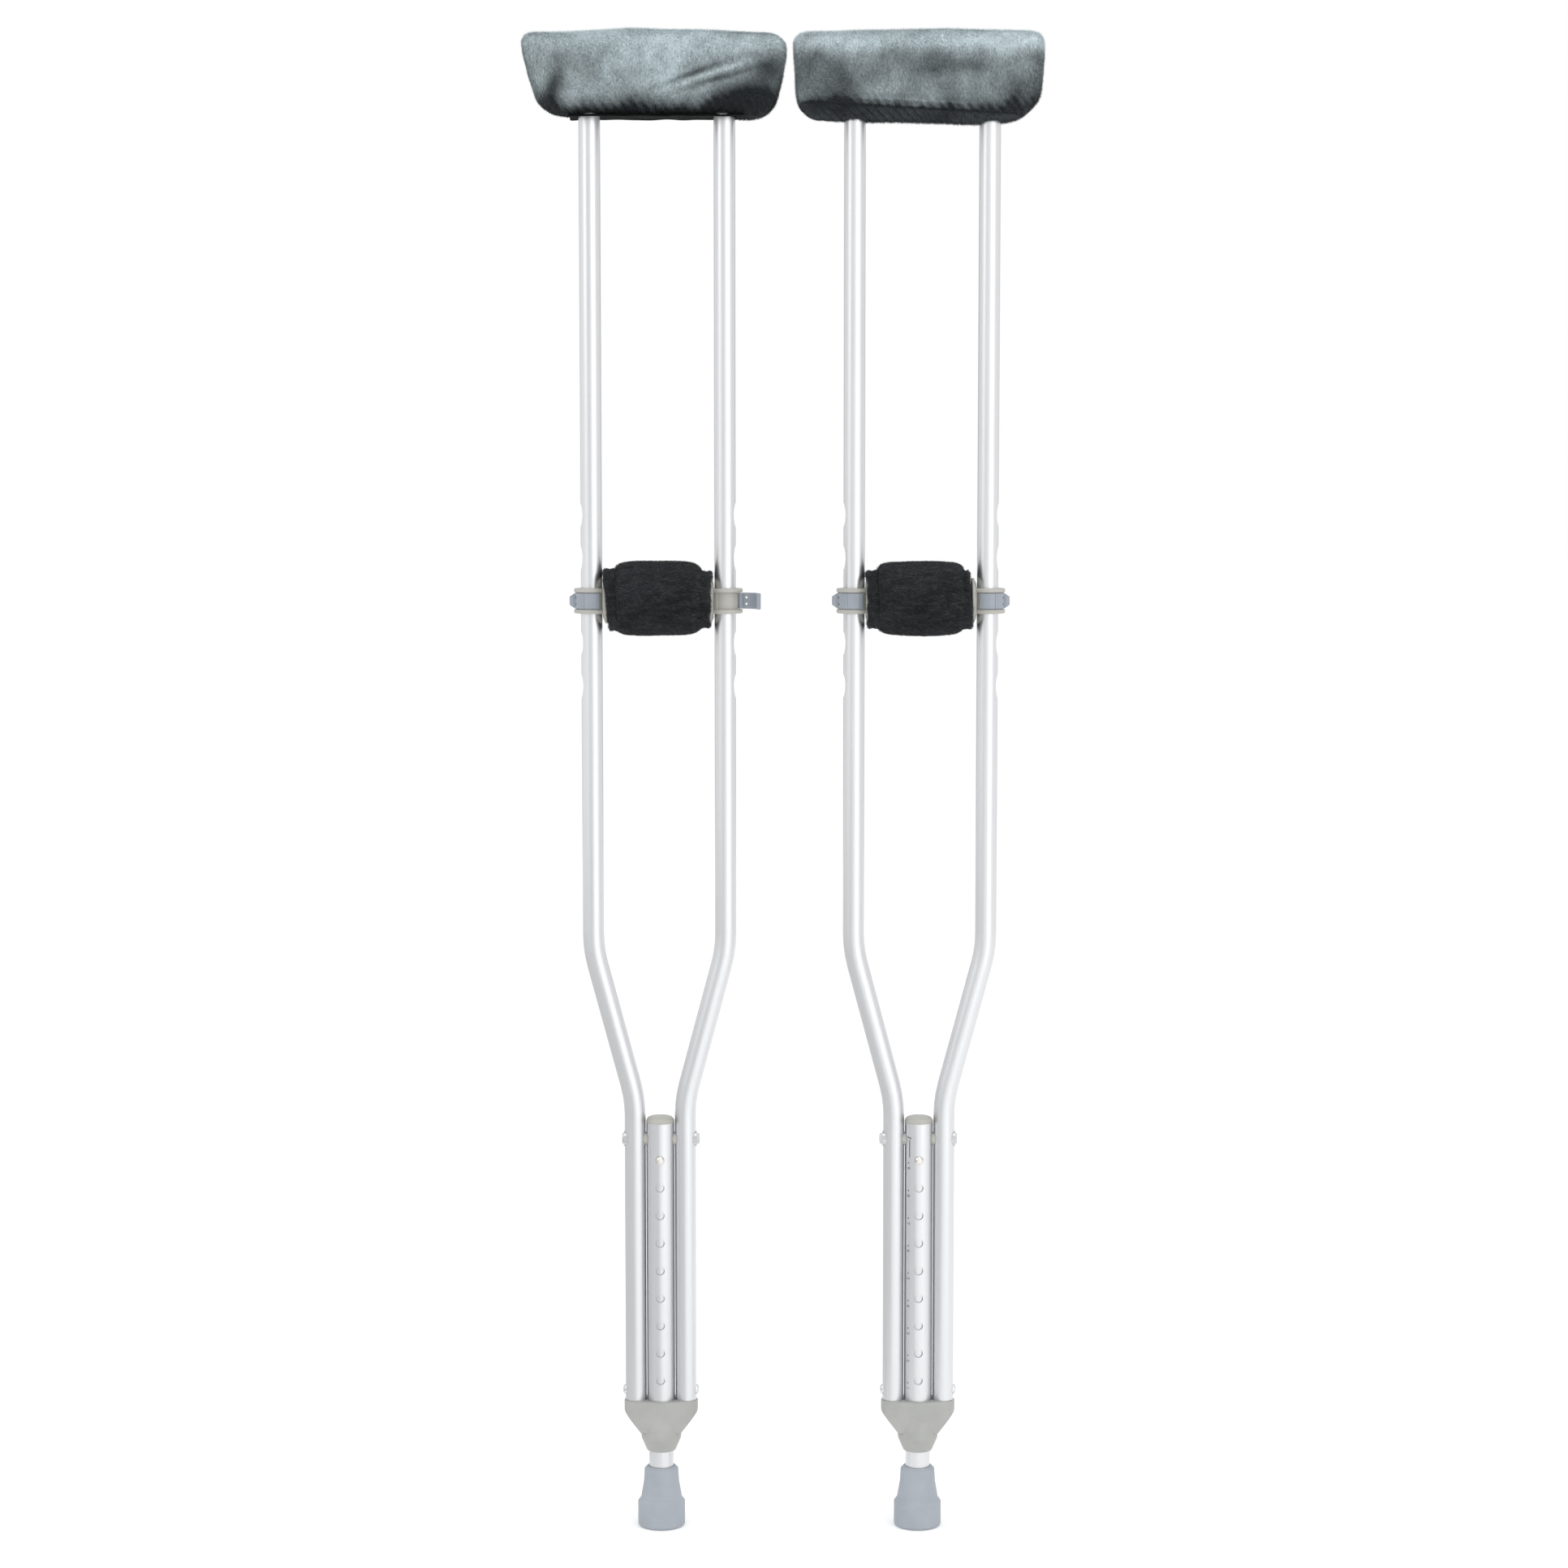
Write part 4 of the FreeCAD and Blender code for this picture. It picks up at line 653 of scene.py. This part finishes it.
def lining_panel(side, inset, seed):
    """The panel under a cushion: a wavy sheet, ragged at its edges, with a hole round each rail."""
    low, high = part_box(f"{side}_underarm_lining")
    axis = (low + high) / 2
    runs = rail_runs(side)
    hole_r = runs[0][0] + RAIL_PLAY
    holes = [Vector((x - axis.x, 0, 0)) for _, x in runs]
    half_x, half_y = (high.x - low.x) / 2 - inset[0], (high.y - low.y) / 2 - inset[1]
    shape = bmesh.new()
    bmesh.ops.create_grid(shape, x_segments=round(2 * half_x / LINING_CELL),
                          y_segments=round(2 * half_y / LINING_CELL), size=1.0)
    for vertex in shape.verts:
        edge_x, edge_y = abs(vertex.co.x) > 0.999, abs(vertex.co.y) > 0.999
        vertex.co = Vector((vertex.co.x * half_x, vertex.co.y * half_y, 0))
        frayed = noise.noise(Vector((vertex.co.x * 260, vertex.co.y * 260, seed)))
        if edge_x or edge_y:
            vertex.co += Vector((0.9 * frayed * edge_x, 1.4 * frayed * edge_y, 0)) * MM
    inside = [vertex for vertex in shape.verts
              if min((vertex.co - hole).length for hole in holes) < hole_r - LINING_CELL * 0.45]
    bmesh.ops.delete(shape, geom=inside, context="VERTS")
    for vertex in shape.verts:
        hole = min(holes, key=lambda centre: (vertex.co - centre).length)
        away = vertex.co - hole
        if away.length < hole_r + LINING_CELL * 0.55:
            vertex.co = hole + away.normalized() * hole_r
        wave = noise.noise(Vector((vertex.co.x * 60, vertex.co.y * 60, seed + 4)))
        rise = 1.2 * MM * (1 - blend01(0.6, 1.0, abs(vertex.co.y) / half_y))
        vertex.co.z = low.z + LINING_LIFT + rise + 1.1 * MM * wave
        vertex.co.x += axis.x
        vertex.co.y += axis.y
    mesh = bpy.data.meshes.new(f"{side}_lining")
    shape.to_mesh(mesh)
    shape.free()
    made = new_piece(f"{side}_lining", mesh, f"{side}_frame")
    wall = made.modifiers.new("Thickness", "SOLIDIFY")
    wall.thickness = LINING_WALL
    wall.offset = 1.0
    refined(made, 1)
    made.modifiers.clear()
    smooth(made.data)
    return made


# ---- operators ---------------------------------------------------------------------------------
class CRUTCH_OT_hard_parts(bpy.types.Operator):
    """Gives every hard part of the frame its finish"""

    bl_idname = "crutch.hard_parts"
    bl_label = "Tubes, mouldings and hardware"

    def execute(self, context):
        hard = look().hard
        finishes = {
            "satin_aluminium": satin_aluminium(tuple(hard.aluminium)),
            "aluminium_rivet": steel("domed_aluminium_rivet", linear("#d9dadc"), 0.24),
            "grey_nylon": moulded("grey_moulded_nylon", tuple(hard.grey_nylon), 0.42, 0.5 * MM,
                                  0.05 * MM),
            "yoke_nylon": moulded("yoke_moulded_nylon", tuple(hard.yoke_nylon), 0.46, 0.5 * MM,
                                  0.05 * MM),
            "blue_grey_nylon": moulded("latch_moulded_nylon", tuple(hard.latch_nylon), 0.34, 0.5 * MM,
                                       0.03 * MM),
            "black_polypropylene": moulded("black_moulded_polypropylene", linear("#1b1c1e"), 0.5,
                                           0.6 * MM, 0.05 * MM, 1.49),
            "blue_grey_rubber": moulded("moulded_rubber", tuple(hard.rubber), 0.62, 0.4 * MM, 0.06 * MM,
                                        1.52),
            "zinc_steel": steel("zinc_plated_steel", linear("#c6c7c9"), 0.26),
            "bright_steel": steel("nickel_plated_steel", linear("#e2dfda"), 0.10),
            "spring_steel": steel("hardened_spring_steel", linear("#8b8d92"), 0.30),
            "pad_foam": moulded("open_cell_foam", linear("#3a3b3e"), 0.95, 0.9 * MM, 0.3 * MM, 1.45),
        }
        for name, part in NODES.items():
            finish = finishes.get(SLOT_OF[name])
            if finish is None:
                continue
            part.data.materials.clear()
            part.data.materials.append(finish)
        return {"FINISHED"}


# The printed scale, in millimetres across the tube, up from the top hole or a hole, and a bar's slant.
DATUM_BAR = ((-2.6, 1.9), (20.4, 21.6), -1.2)
STEM_BAR = ((-0.5, 0.4), (2.2, 18.4), 0.0)
TICK_BAR = ((-2.1, -0.7), (-3.4, -2.2), 0.0)
FIGURE_SIZE = 5.2 * MM
FIGURE_ASIDE = -1.5 * MM
FIGURE_DROP = 7.6 * MM
INK_HEIGHT = 0.06 * MM
LONGEST_INK_EDGE = 1.2 * MM


class CRUTCH_OT_scale_print(bpy.types.Operator):
    """Prints the plain height scale beside the button holes of each centre tube"""

    bl_idname = "crutch.scale_print"
    bl_label = "Printed scale"

    def execute(self, context):
        finish = ink(tuple(look().hard.ink))
        for side, facing in (("left", 138), ("right", -42)):
            mesh = self.marks(side, math.radians(facing))
            made = new_piece(f"{side}_scale_print", mesh, f"{side}_frame")
            made.data.materials.append(finish)
        return {"FINISHED"}

    def marks(self, side, facing):
        """Ticks, a datum line and figures, wrapped round the tube at an angle from the front."""
        low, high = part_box(f"{side}_centre_tube")
        axis = (low + high) / 2
        radius = (high.x - low.x) / 2
        button_low, button_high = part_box(f"{side}_front_button")
        top_hole = (button_high.z + button_low.z) / 2
        flat = bmesh.new()
        self.bar(flat, top_hole, *DATUM_BAR)
        self.bar(flat, top_hole, *STEM_BAR)
        for i in range(HOLE_COUNT):
            hole = top_hole - i * HOLE_PITCH
            self.bar(flat, hole, *TICK_BAR)
            self.figure(flat, str(HOLE_COUNT - i), hole - FIGURE_DROP)
        long_edges = [edge for edge in flat.edges if edge.calc_length() > LONGEST_INK_EDGE]
        bmesh.ops.subdivide_edges(flat, edges=long_edges, cuts=3)
        bmesh.ops.triangulate(flat, faces=flat.faces[:])
        for vertex in flat.verts:
            angle = facing + vertex.co.x / radius
            out = radius + INK_HEIGHT + vertex.co.z
            vertex.co = Vector((axis.x + out * math.sin(angle), axis.y - out * math.cos(angle),
                                vertex.co.y))
        bmesh.ops.recalc_face_normals(flat, faces=flat.faces[:])
        mesh = bpy.data.meshes.new(f"{side}_scale_print")
        flat.to_mesh(mesh)
        flat.free()
        return mesh

    def bar(self, flat, zero, across, upright, slant):
        """A printed rectangle, in millimetres across the tube and up from a height."""
        flat.faces.new([flat.verts.new((across[i] * MM, zero + (upright[j] + slant * i) * MM, 0))
                        for i, j in ((0, 0), (1, 0), (1, 1), (0, 1))])

    def figure(self, flat, text, height):
        """A figure that reads along the tube."""
        curve = bpy.data.curves.new("figure", "FONT")
        curve.body = text
        curve.size = FIGURE_SIZE
        curve.align_x = "CENTER"
        curve.align_y = "CENTER"
        holder = bpy.data.objects.new("figure", curve)
        bpy.context.scene.collection.objects.link(holder)
        mesh = plain_mesh(holder, "figure")
        turned = Matrix.Rotation(math.radians(-90), 4, "Z")
        mesh.transform(Matrix.Translation((FIGURE_ASIDE, height, 0)) @ turned)
        flat.from_mesh(mesh)
        bpy.data.objects.remove(holder)
        bpy.data.curves.remove(curve)
        bpy.data.meshes.remove(mesh)


class CRUTCH_OT_cushions(bpy.types.Operator):
    """Makes the two plush underarm cushions with their pile"""

    bl_idname = "crutch.cushions"
    bl_label = "Underarm cushions"

    def execute(self, context):
        settings = look().cushion
        # the dark and light colours are shaded and lit copies of the plush: painted shade and painted
        # sheen
        plush = napped("plush_velour", tuple(settings.dark), tuple(settings.light), 1.4 * MM,
                       (1.0, 1.0, 0.45), 0.12)
        for seed, side in enumerate(SIDES):
            made = cushion_surface(side)
            made.data.materials.clear()
            made.data.materials.append(plush)
            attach(made, f"{side}_frame")
            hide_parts(f"{side}_underarm_cover", f"{side}_underarm_foam")
            grow_pile(made, f"{side}_cushion_pile", f"{side}_frame", {
                "count": settings.pile_count, "length": settings.pile_length,
                "width": settings.pile_width, "unevenness": 0.55, "spread": 0.5}, plush, 11 + seed)
        return {"FINISHED"}


class CRUTCH_OT_linings(bpy.types.Operator):
    """Makes the black lining under each cushion"""

    bl_idname = "crutch.linings"
    bl_label = "Cushion linings"

    def execute(self, context):
        # painted shade: the lining's colour is darkened for the shade under the cushion
        finish = woven("black_woven_lining", tuple(look().cushion.lining), 0.45 * MM)
        for side, inset, seed in LININGS:
            made = lining_panel(side, inset, seed)
            made.data.materials.append(finish)
            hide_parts(f"{side}_underarm_lining")
        return {"FINISHED"}


class CRUTCH_OT_grips(bpy.types.Operator):
    """Makes the two fleece-covered handgrips"""

    bl_idname = "crutch.grips"
    bl_label = "Handgrips"

    def execute(self, context):
        settings = look().grip
        fleece = napped("brushed_fleece", tuple(settings.fleece), tuple(settings.streak), 0.9 * MM,
                        (0.22, 1.0, 1.0), 0.06)
        for seed, side in enumerate(SIDES):
            made = grip_surface(side, 5.0 * seed)
            made.data.materials.clear()
            made.data.materials.append(fleece)
            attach(made, f"{side}_handgrip")
            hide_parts(f"{side}_grip_cover", f"{side}_grip_foam")
            for label, hem in grip_hems(side, 5.0 * seed):
                cuff = new_piece(f"{side}_grip_{label}_hem", hem, f"{side}_handgrip")
                cuff.data.materials.append(fleece)
                strands = {"count": settings.pile_count // 5, "length": settings.pile_length * 0.8,
                           "width": settings.pile_width, "unevenness": 0.6, "spread": 1.6}
                grow_pile(cuff, f"{side}_grip_{label}_hem_strands", f"{side}_handgrip",
                          strands, fleece, 41 + seed)
            grow_pile(made, f"{side}_grip_strands", f"{side}_handgrip", {
                "count": settings.pile_count, "length": settings.pile_length,
                "width": settings.pile_width, "unevenness": 0.35, "spread": 1.6}, fleece, 31 + seed)
        return {"FINISHED"}


def turned_skin(name, centre, profile, segments, ragged, seed, slants=()):
    """A closed skin round an X axis through (x, radius) points, unevened by noise; a ring may slant."""
    shape = bmesh.new()
    rings = []
    for k, (x, radius) in enumerate(profile):
        slant = slants[k] if slants else 0.0
        ring = []
        for i in range(segments):
            turn = 2 * math.pi * i / segments
            spin = Vector((x * 40, math.cos(turn) * 1.3, math.sin(turn) * 1.3 + seed))
            grow = radius * (1 + ragged * noise.noise(spin))
            grow += 0.5 * ragged * radius * noise.noise(spin * 3.1)
            shift = ragged * 0.06 * noise.noise(spin * 1.7 + Vector((3, 3, 3)))
            shift += slant * math.cos(turn)
            ring.append(shape.verts.new((centre.x + x + shift, centre.y + grow * math.sin(turn),
                                         centre.z + grow * math.cos(turn))))
        rings.append(ring)
    closed = rings + rings[:1]
    for one, two in zip(closed, closed[1:]):
        for i in range(segments):
            j = (i + 1) % segments
            shape.faces.new((one[i], one[j], two[j], two[i]))
    bmesh.ops.recalc_face_normals(shape, faces=shape.faces[:])
    mesh = bpy.data.meshes.new(name)
    shape.to_mesh(mesh)
    shape.free()
    return mesh


def strand_layers(mesh, seed):
    """Streaky tone and a brushed direction along the grip for its strands; the tone is lighter towards
    the top as painted light.
    """
    tones, leans = [], []
    middle = sum(vertex.co.z for vertex in mesh.vertices) / len(mesh.vertices)
    for vertex in mesh.vertices:
        x, y, z = vertex.co
        streak = noise.noise(Vector((x * 90, y * 380, z * 380 + seed)))
        cloud = noise.noise(vertex.co * 45 + Vector((seed, 0, 0)))
        # painted light and shade: the tone rises towards the top of the grip and falls towards its bottom
        height = (z - middle) / (33 * MM)
        tones.append(min(1.0, max(0.0, 0.035 + 0.02 * height + 0.05 * streak + 0.03 * cloud)))
        lean = Vector((2.2, 0, -0.4)) + Vector((0, cloud, streak))
        leans.append(lean - vertex.normal * lean.dot(vertex.normal))
    set_attribute(mesh, "nap_and_painted_light", "FLOAT", tones)
    set_attribute(mesh, "lean", "FLOAT_VECTOR", leans)
    smooth(mesh)


def grip_middle(side, lift=0.0):
    """The middle of a handgrip, which may be lifted a little, on the centre tube's axis."""
    low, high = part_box(f"{side}_grip_cover")
    tube_low, tube_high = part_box(f"{side}_centre_tube")
    return Vector(((tube_low.x + tube_high.x) / 2, (low.y + high.y) / 2, (low.z + high.z) / 2 + lift))


# The stuffed middle of a grip, in millimetres: (x, radius) points, and the bore it is closed by.
GRIP_STEPS = ((-38.5, 25.5), (-35.5, 30.2), (-31.0, 31.6), (-20.0, 32.4), (-10.0, 32.6), (0.0, 32.6),
              (10.0, 32.5), (20.0, 32.3), (30.5, 31.4), (35.0, 30.0), (38.5, 25.0))
GRIP_HALF = 38.5 * MM
GRIP_BORE = 13.1 * MM
GRIP_LIFT = 2.2 * MM
HEM_LIFT = 0.9 * MM


def grip_surface(side, seed):
    """The stuffed middle of the handgrip, swollen as cloth and held at its two ends."""
    centre = grip_middle(side)
    centre.z += GRIP_LIFT
    profile = [(-GRIP_HALF, GRIP_BORE)] + [(x * MM, radius * MM) for x, radius in GRIP_STEPS]
    profile.append((GRIP_HALF, GRIP_BORE))
    mesh = turned_skin(f"{side}_grip_wrap", centre, profile, 48, 0.012, seed)

    def held(co):
        return blend01(GRIP_HALF - 9 * MM, GRIP_HALF - 3 * MM, abs(co.x - centre.x))

    made = inflated(mesh, f"{side}_grip_wrap", 4 * MM, 3.0, 3.0 * MM, held)
    refined(made, 1)
    for vertex in made.data.vertices:
        away = Vector((0, vertex.co.y - centre.y, vertex.co.z - centre.z))
        if away.length > 18 * MM:
            bulge = 1.1 * noise.noise(vertex.co * 24 + Vector((seed, 0, 0)))
            x, y, z = vertex.co
            pull = 0.6 * noise.noise(Vector((x * 30, y * 90, z * 90 + seed)))
            vertex.co += away.normalized() * (bulge + pull) * MM
    strand_layers(made.data, seed)
    return made


# Each cover was pulled on a little differently. Sizes are in millimetres from the grip's middle: a hem's
# edge, where it meets the stuffed middle, its bore, its radius, and how far its edge slants outwards from
# its middle to its top.
GRIP_HEMS = {
    "left": (("left", -46.4, -31.0, 21.0, 27.6, -3.0), ("right", 46.6, 31.5, 15.5, 25.2, 0.8)),
    "right": (("left", -48.2, -33.0, 21.0, 25.6, -0.6), ("right", 44.4, 29.0, 15.5, 25.8, -1.3)),
}


def grip_hems(side, seed):
    """The two hemmed cuffs of the grip's cover, each ending a little before or over the end disc."""
    centre = grip_middle(side, HEM_LIFT)
    cuffs = []
    for label, edge, inner, bore, radius, slant in GRIP_HEMS[side]:
        way = 1 if inner > edge else -1
        points = [(0.0, bore), (0.0, radius - 1.2), (0.9, radius), (3.0, radius + 0.2),
                  (4.6, radius - 0.7), (6.2, radius + 0.1), (9.5, radius + 0.3), (12.5, radius),
                  (14.5, bore + 1.0), (13.5, bore), (7.0, bore)]
        slants = [slant * MM * (1 - min(1.0, x / 13.0)) for x, _ in points]
        profile = [((edge + way * x) * MM, r * MM) for x, r in points]
        mesh = turned_skin(f"{side}_grip_{label}_hem", centre, profile, 96, 0.022, seed + bore, slants)
        holder = bpy.data.objects.new("hem", mesh)
        bpy.context.scene.collection.objects.link(holder)
        refined(holder, 1)
        mesh = holder.data
        bpy.data.objects.remove(holder)
        strand_layers(mesh, seed + bore)
        cuffs.append((label, mesh))
    return cuffs


# Grey cards round the crutches: name, grey, first and last azimuth, (distance, height) points.
FLAGS = (
    ("flag_low_left", 0.78, (-160, -13), ((0.30, 0.003), (0.85, 0.003), (0.85, 0.47))),
    ("flag_tall_left", 0.76, (-34, -19), ((0.85, 0.47), (0.85, 1.6))),
    ("flag_back_left", 0.62, (-165, -132), ((1.1, 0.5), (1.1, 1.6))),
    ("flag_back_right", 0.62, (136, 165), ((1.1, 0.5), (1.1, 1.6))),
)
# Soft lights: name, place, size, power.
SOFT_BOXES = (
    ("soft_box_right", (1.7, -2.4, 1.3), (2.0, 2.4), 15.0),
    ("soft_box_left", (-2.3, -1.6, 1.9), (1.0, 1.6), 6.0),
    ("soft_box_top", (0.3, -0.8, 3.2), (2.4, 2.0), 14.0),
)
LIGHT_TARGET = Vector((0, 0, 0.75))
CAMERA_X = -0.005
FLAG_STEPS = 12
FLOOR_RADIUS = 24.0
FLOOR_DROP = 0.5 * MM


class CRUTCH_OT_stage(bpy.types.Operator):
    """Sets up the pale floor, the soft studio lights and the camera"""

    bl_idname = "crutch.stage"
    bl_label = "Studio"

    def execute(self, context):
        settings = look().stage
        scene = context.scene
        scene.view_settings.view_transform = "Standard"
        self.floor(settings)
        self.world(scene)
        for flag in FLAGS:
            self.flag(*flag)
        for soft_box in SOFT_BOXES:
            self.soft_box(scene, *soft_box)
        camera = bpy.data.objects.new("camera", bpy.data.cameras.new("camera"))
        camera.data.lens = settings.lens
        camera.data.sensor_width = 36.0
        camera.location = (CAMERA_X, -settings.distance, settings.height)
        camera.rotation_euler = (math.pi / 2 - settings.tilt, 0, 0)
        scene.collection.objects.link(camera)
        scene.camera = camera
        return {"FINISHED"}

    def flag(self, name, grey, azimuths, outline):
        """A curved grey card through (distance, height) points, seen only in the tubes' reflections."""
        first, last = azimuths
        turns = [math.radians(first + (last - first) * i / FLAG_STEPS) for i in range(FLAG_STEPS + 1)]
        shape = bmesh.new()
        rows = [[shape.verts.new((distance * math.sin(turn), -distance * math.cos(turn), height))
                 for turn in turns] for distance, height in outline]
        for one, two in zip(rows, rows[1:]):
            for i in range(FLAG_STEPS):
                shape.faces.new((one[i], one[i + 1], two[i + 1], two[i]))
        mesh = bpy.data.meshes.new(name)
        shape.to_mesh(mesh)
        shape.free()
        made = bpy.data.objects.new(name, mesh)
        made.visible_camera = False
        made.visible_diffuse = False
        made.visible_shadow = False
        finish, tree = new_material(name)
        card = add(tree, "ShaderNodeEmission", {"Color": (grey, grey, grey, 1), "Strength": 1.0})
        add(tree, "ShaderNodeOutputMaterial", {"Surface": card.outputs["Emission"]})
        made.data.materials.append(finish)
        bpy.context.scene.collection.objects.link(made)

    def floor(self, settings):
        """A wide disc of studio paper at floor level."""
        shape = bmesh.new()
        bmesh.ops.create_circle(shape, cap_ends=True, segments=96, radius=FLOOR_RADIUS)
        mesh = bpy.data.meshes.new("floor")
        shape.to_mesh(mesh)
        shape.free()
        made = bpy.data.objects.new("floor", mesh)
        made.location.z = -FLOOR_DROP
        made.data.materials.append(floor_paper(tuple(settings.floor)))
        bpy.context.scene.collection.objects.link(made)

    def world(self, scene):
        """An even white surround."""
        scene.world = bpy.data.worlds.new("studio")
        scene.world.use_nodes = True
        back = scene.world.node_tree.nodes["Background"]
        back.inputs["Color"].default_value = linear("#ffffff")
        back.inputs["Strength"].default_value = 1.0

    def soft_box(self, scene, name, place, size, power):
        """A rectangular soft light aimed at the crutches."""
        light = bpy.data.lights.new(name, "AREA")
        light.shape = "RECTANGLE"
        light.size, light.size_y = size
        light.energy = power
        made = bpy.data.objects.new(name, light)
        made.location = place
        made.rotation_euler = (LIGHT_TARGET - Vector(place)).to_track_quat("-Z", "Y").to_euler()
        made.visible_camera = False
        scene.collection.objects.link(made)


class CRUTCH_PT_panel(bpy.types.Panel):
    """Lists the steps that dress the crutches"""

    bl_idname = "CRUTCH_PT_panel"
    bl_label = "Underarm crutches"
    bl_space_type = "VIEW_3D"
    bl_region_type = "UI"
    bl_category = "Crutches"

    def draw(self, context):
        for step in STEPS:
            self.layout.operator(step.bl_idname)
        for group in ("cushion", "grip", "hard", "stage"):
            settings = getattr(context.scene.crutches, group)
            box = self.layout.box()
            for name in settings.bl_rna.properties.keys():
                if name not in {"rna_type", "name"}:
                    box.prop(settings, name)


GROUPS = (CrutchCushionLook, CrutchGripLook, CrutchHardLook, CrutchStageLook, CrutchLooks)
STEPS = (CRUTCH_OT_hard_parts, CRUTCH_OT_scale_print, CRUTCH_OT_cushions, CRUTCH_OT_linings,
         CRUTCH_OT_grips, CRUTCH_OT_stage)
CLASSES = GROUPS + STEPS + (CRUTCH_PT_panel,)


def register():
    for item in CLASSES:
        bpy.utils.register_class(item)
    bpy.types.Scene.crutches = bpy.props.PointerProperty(type=CrutchLooks)


def unregister():
    del bpy.types.Scene.crutches
    for item in reversed(CLASSES):
        bpy.utils.unregister_class(item)


def main():
    register()
    bpy.ops.crutch.hard_parts()
    bpy.ops.crutch.scale_print()
    bpy.ops.crutch.cushions()
    bpy.ops.crutch.linings()
    bpy.ops.crutch.grips()
    bpy.ops.crutch.stage()


if __name__ == "__main__":
    main()
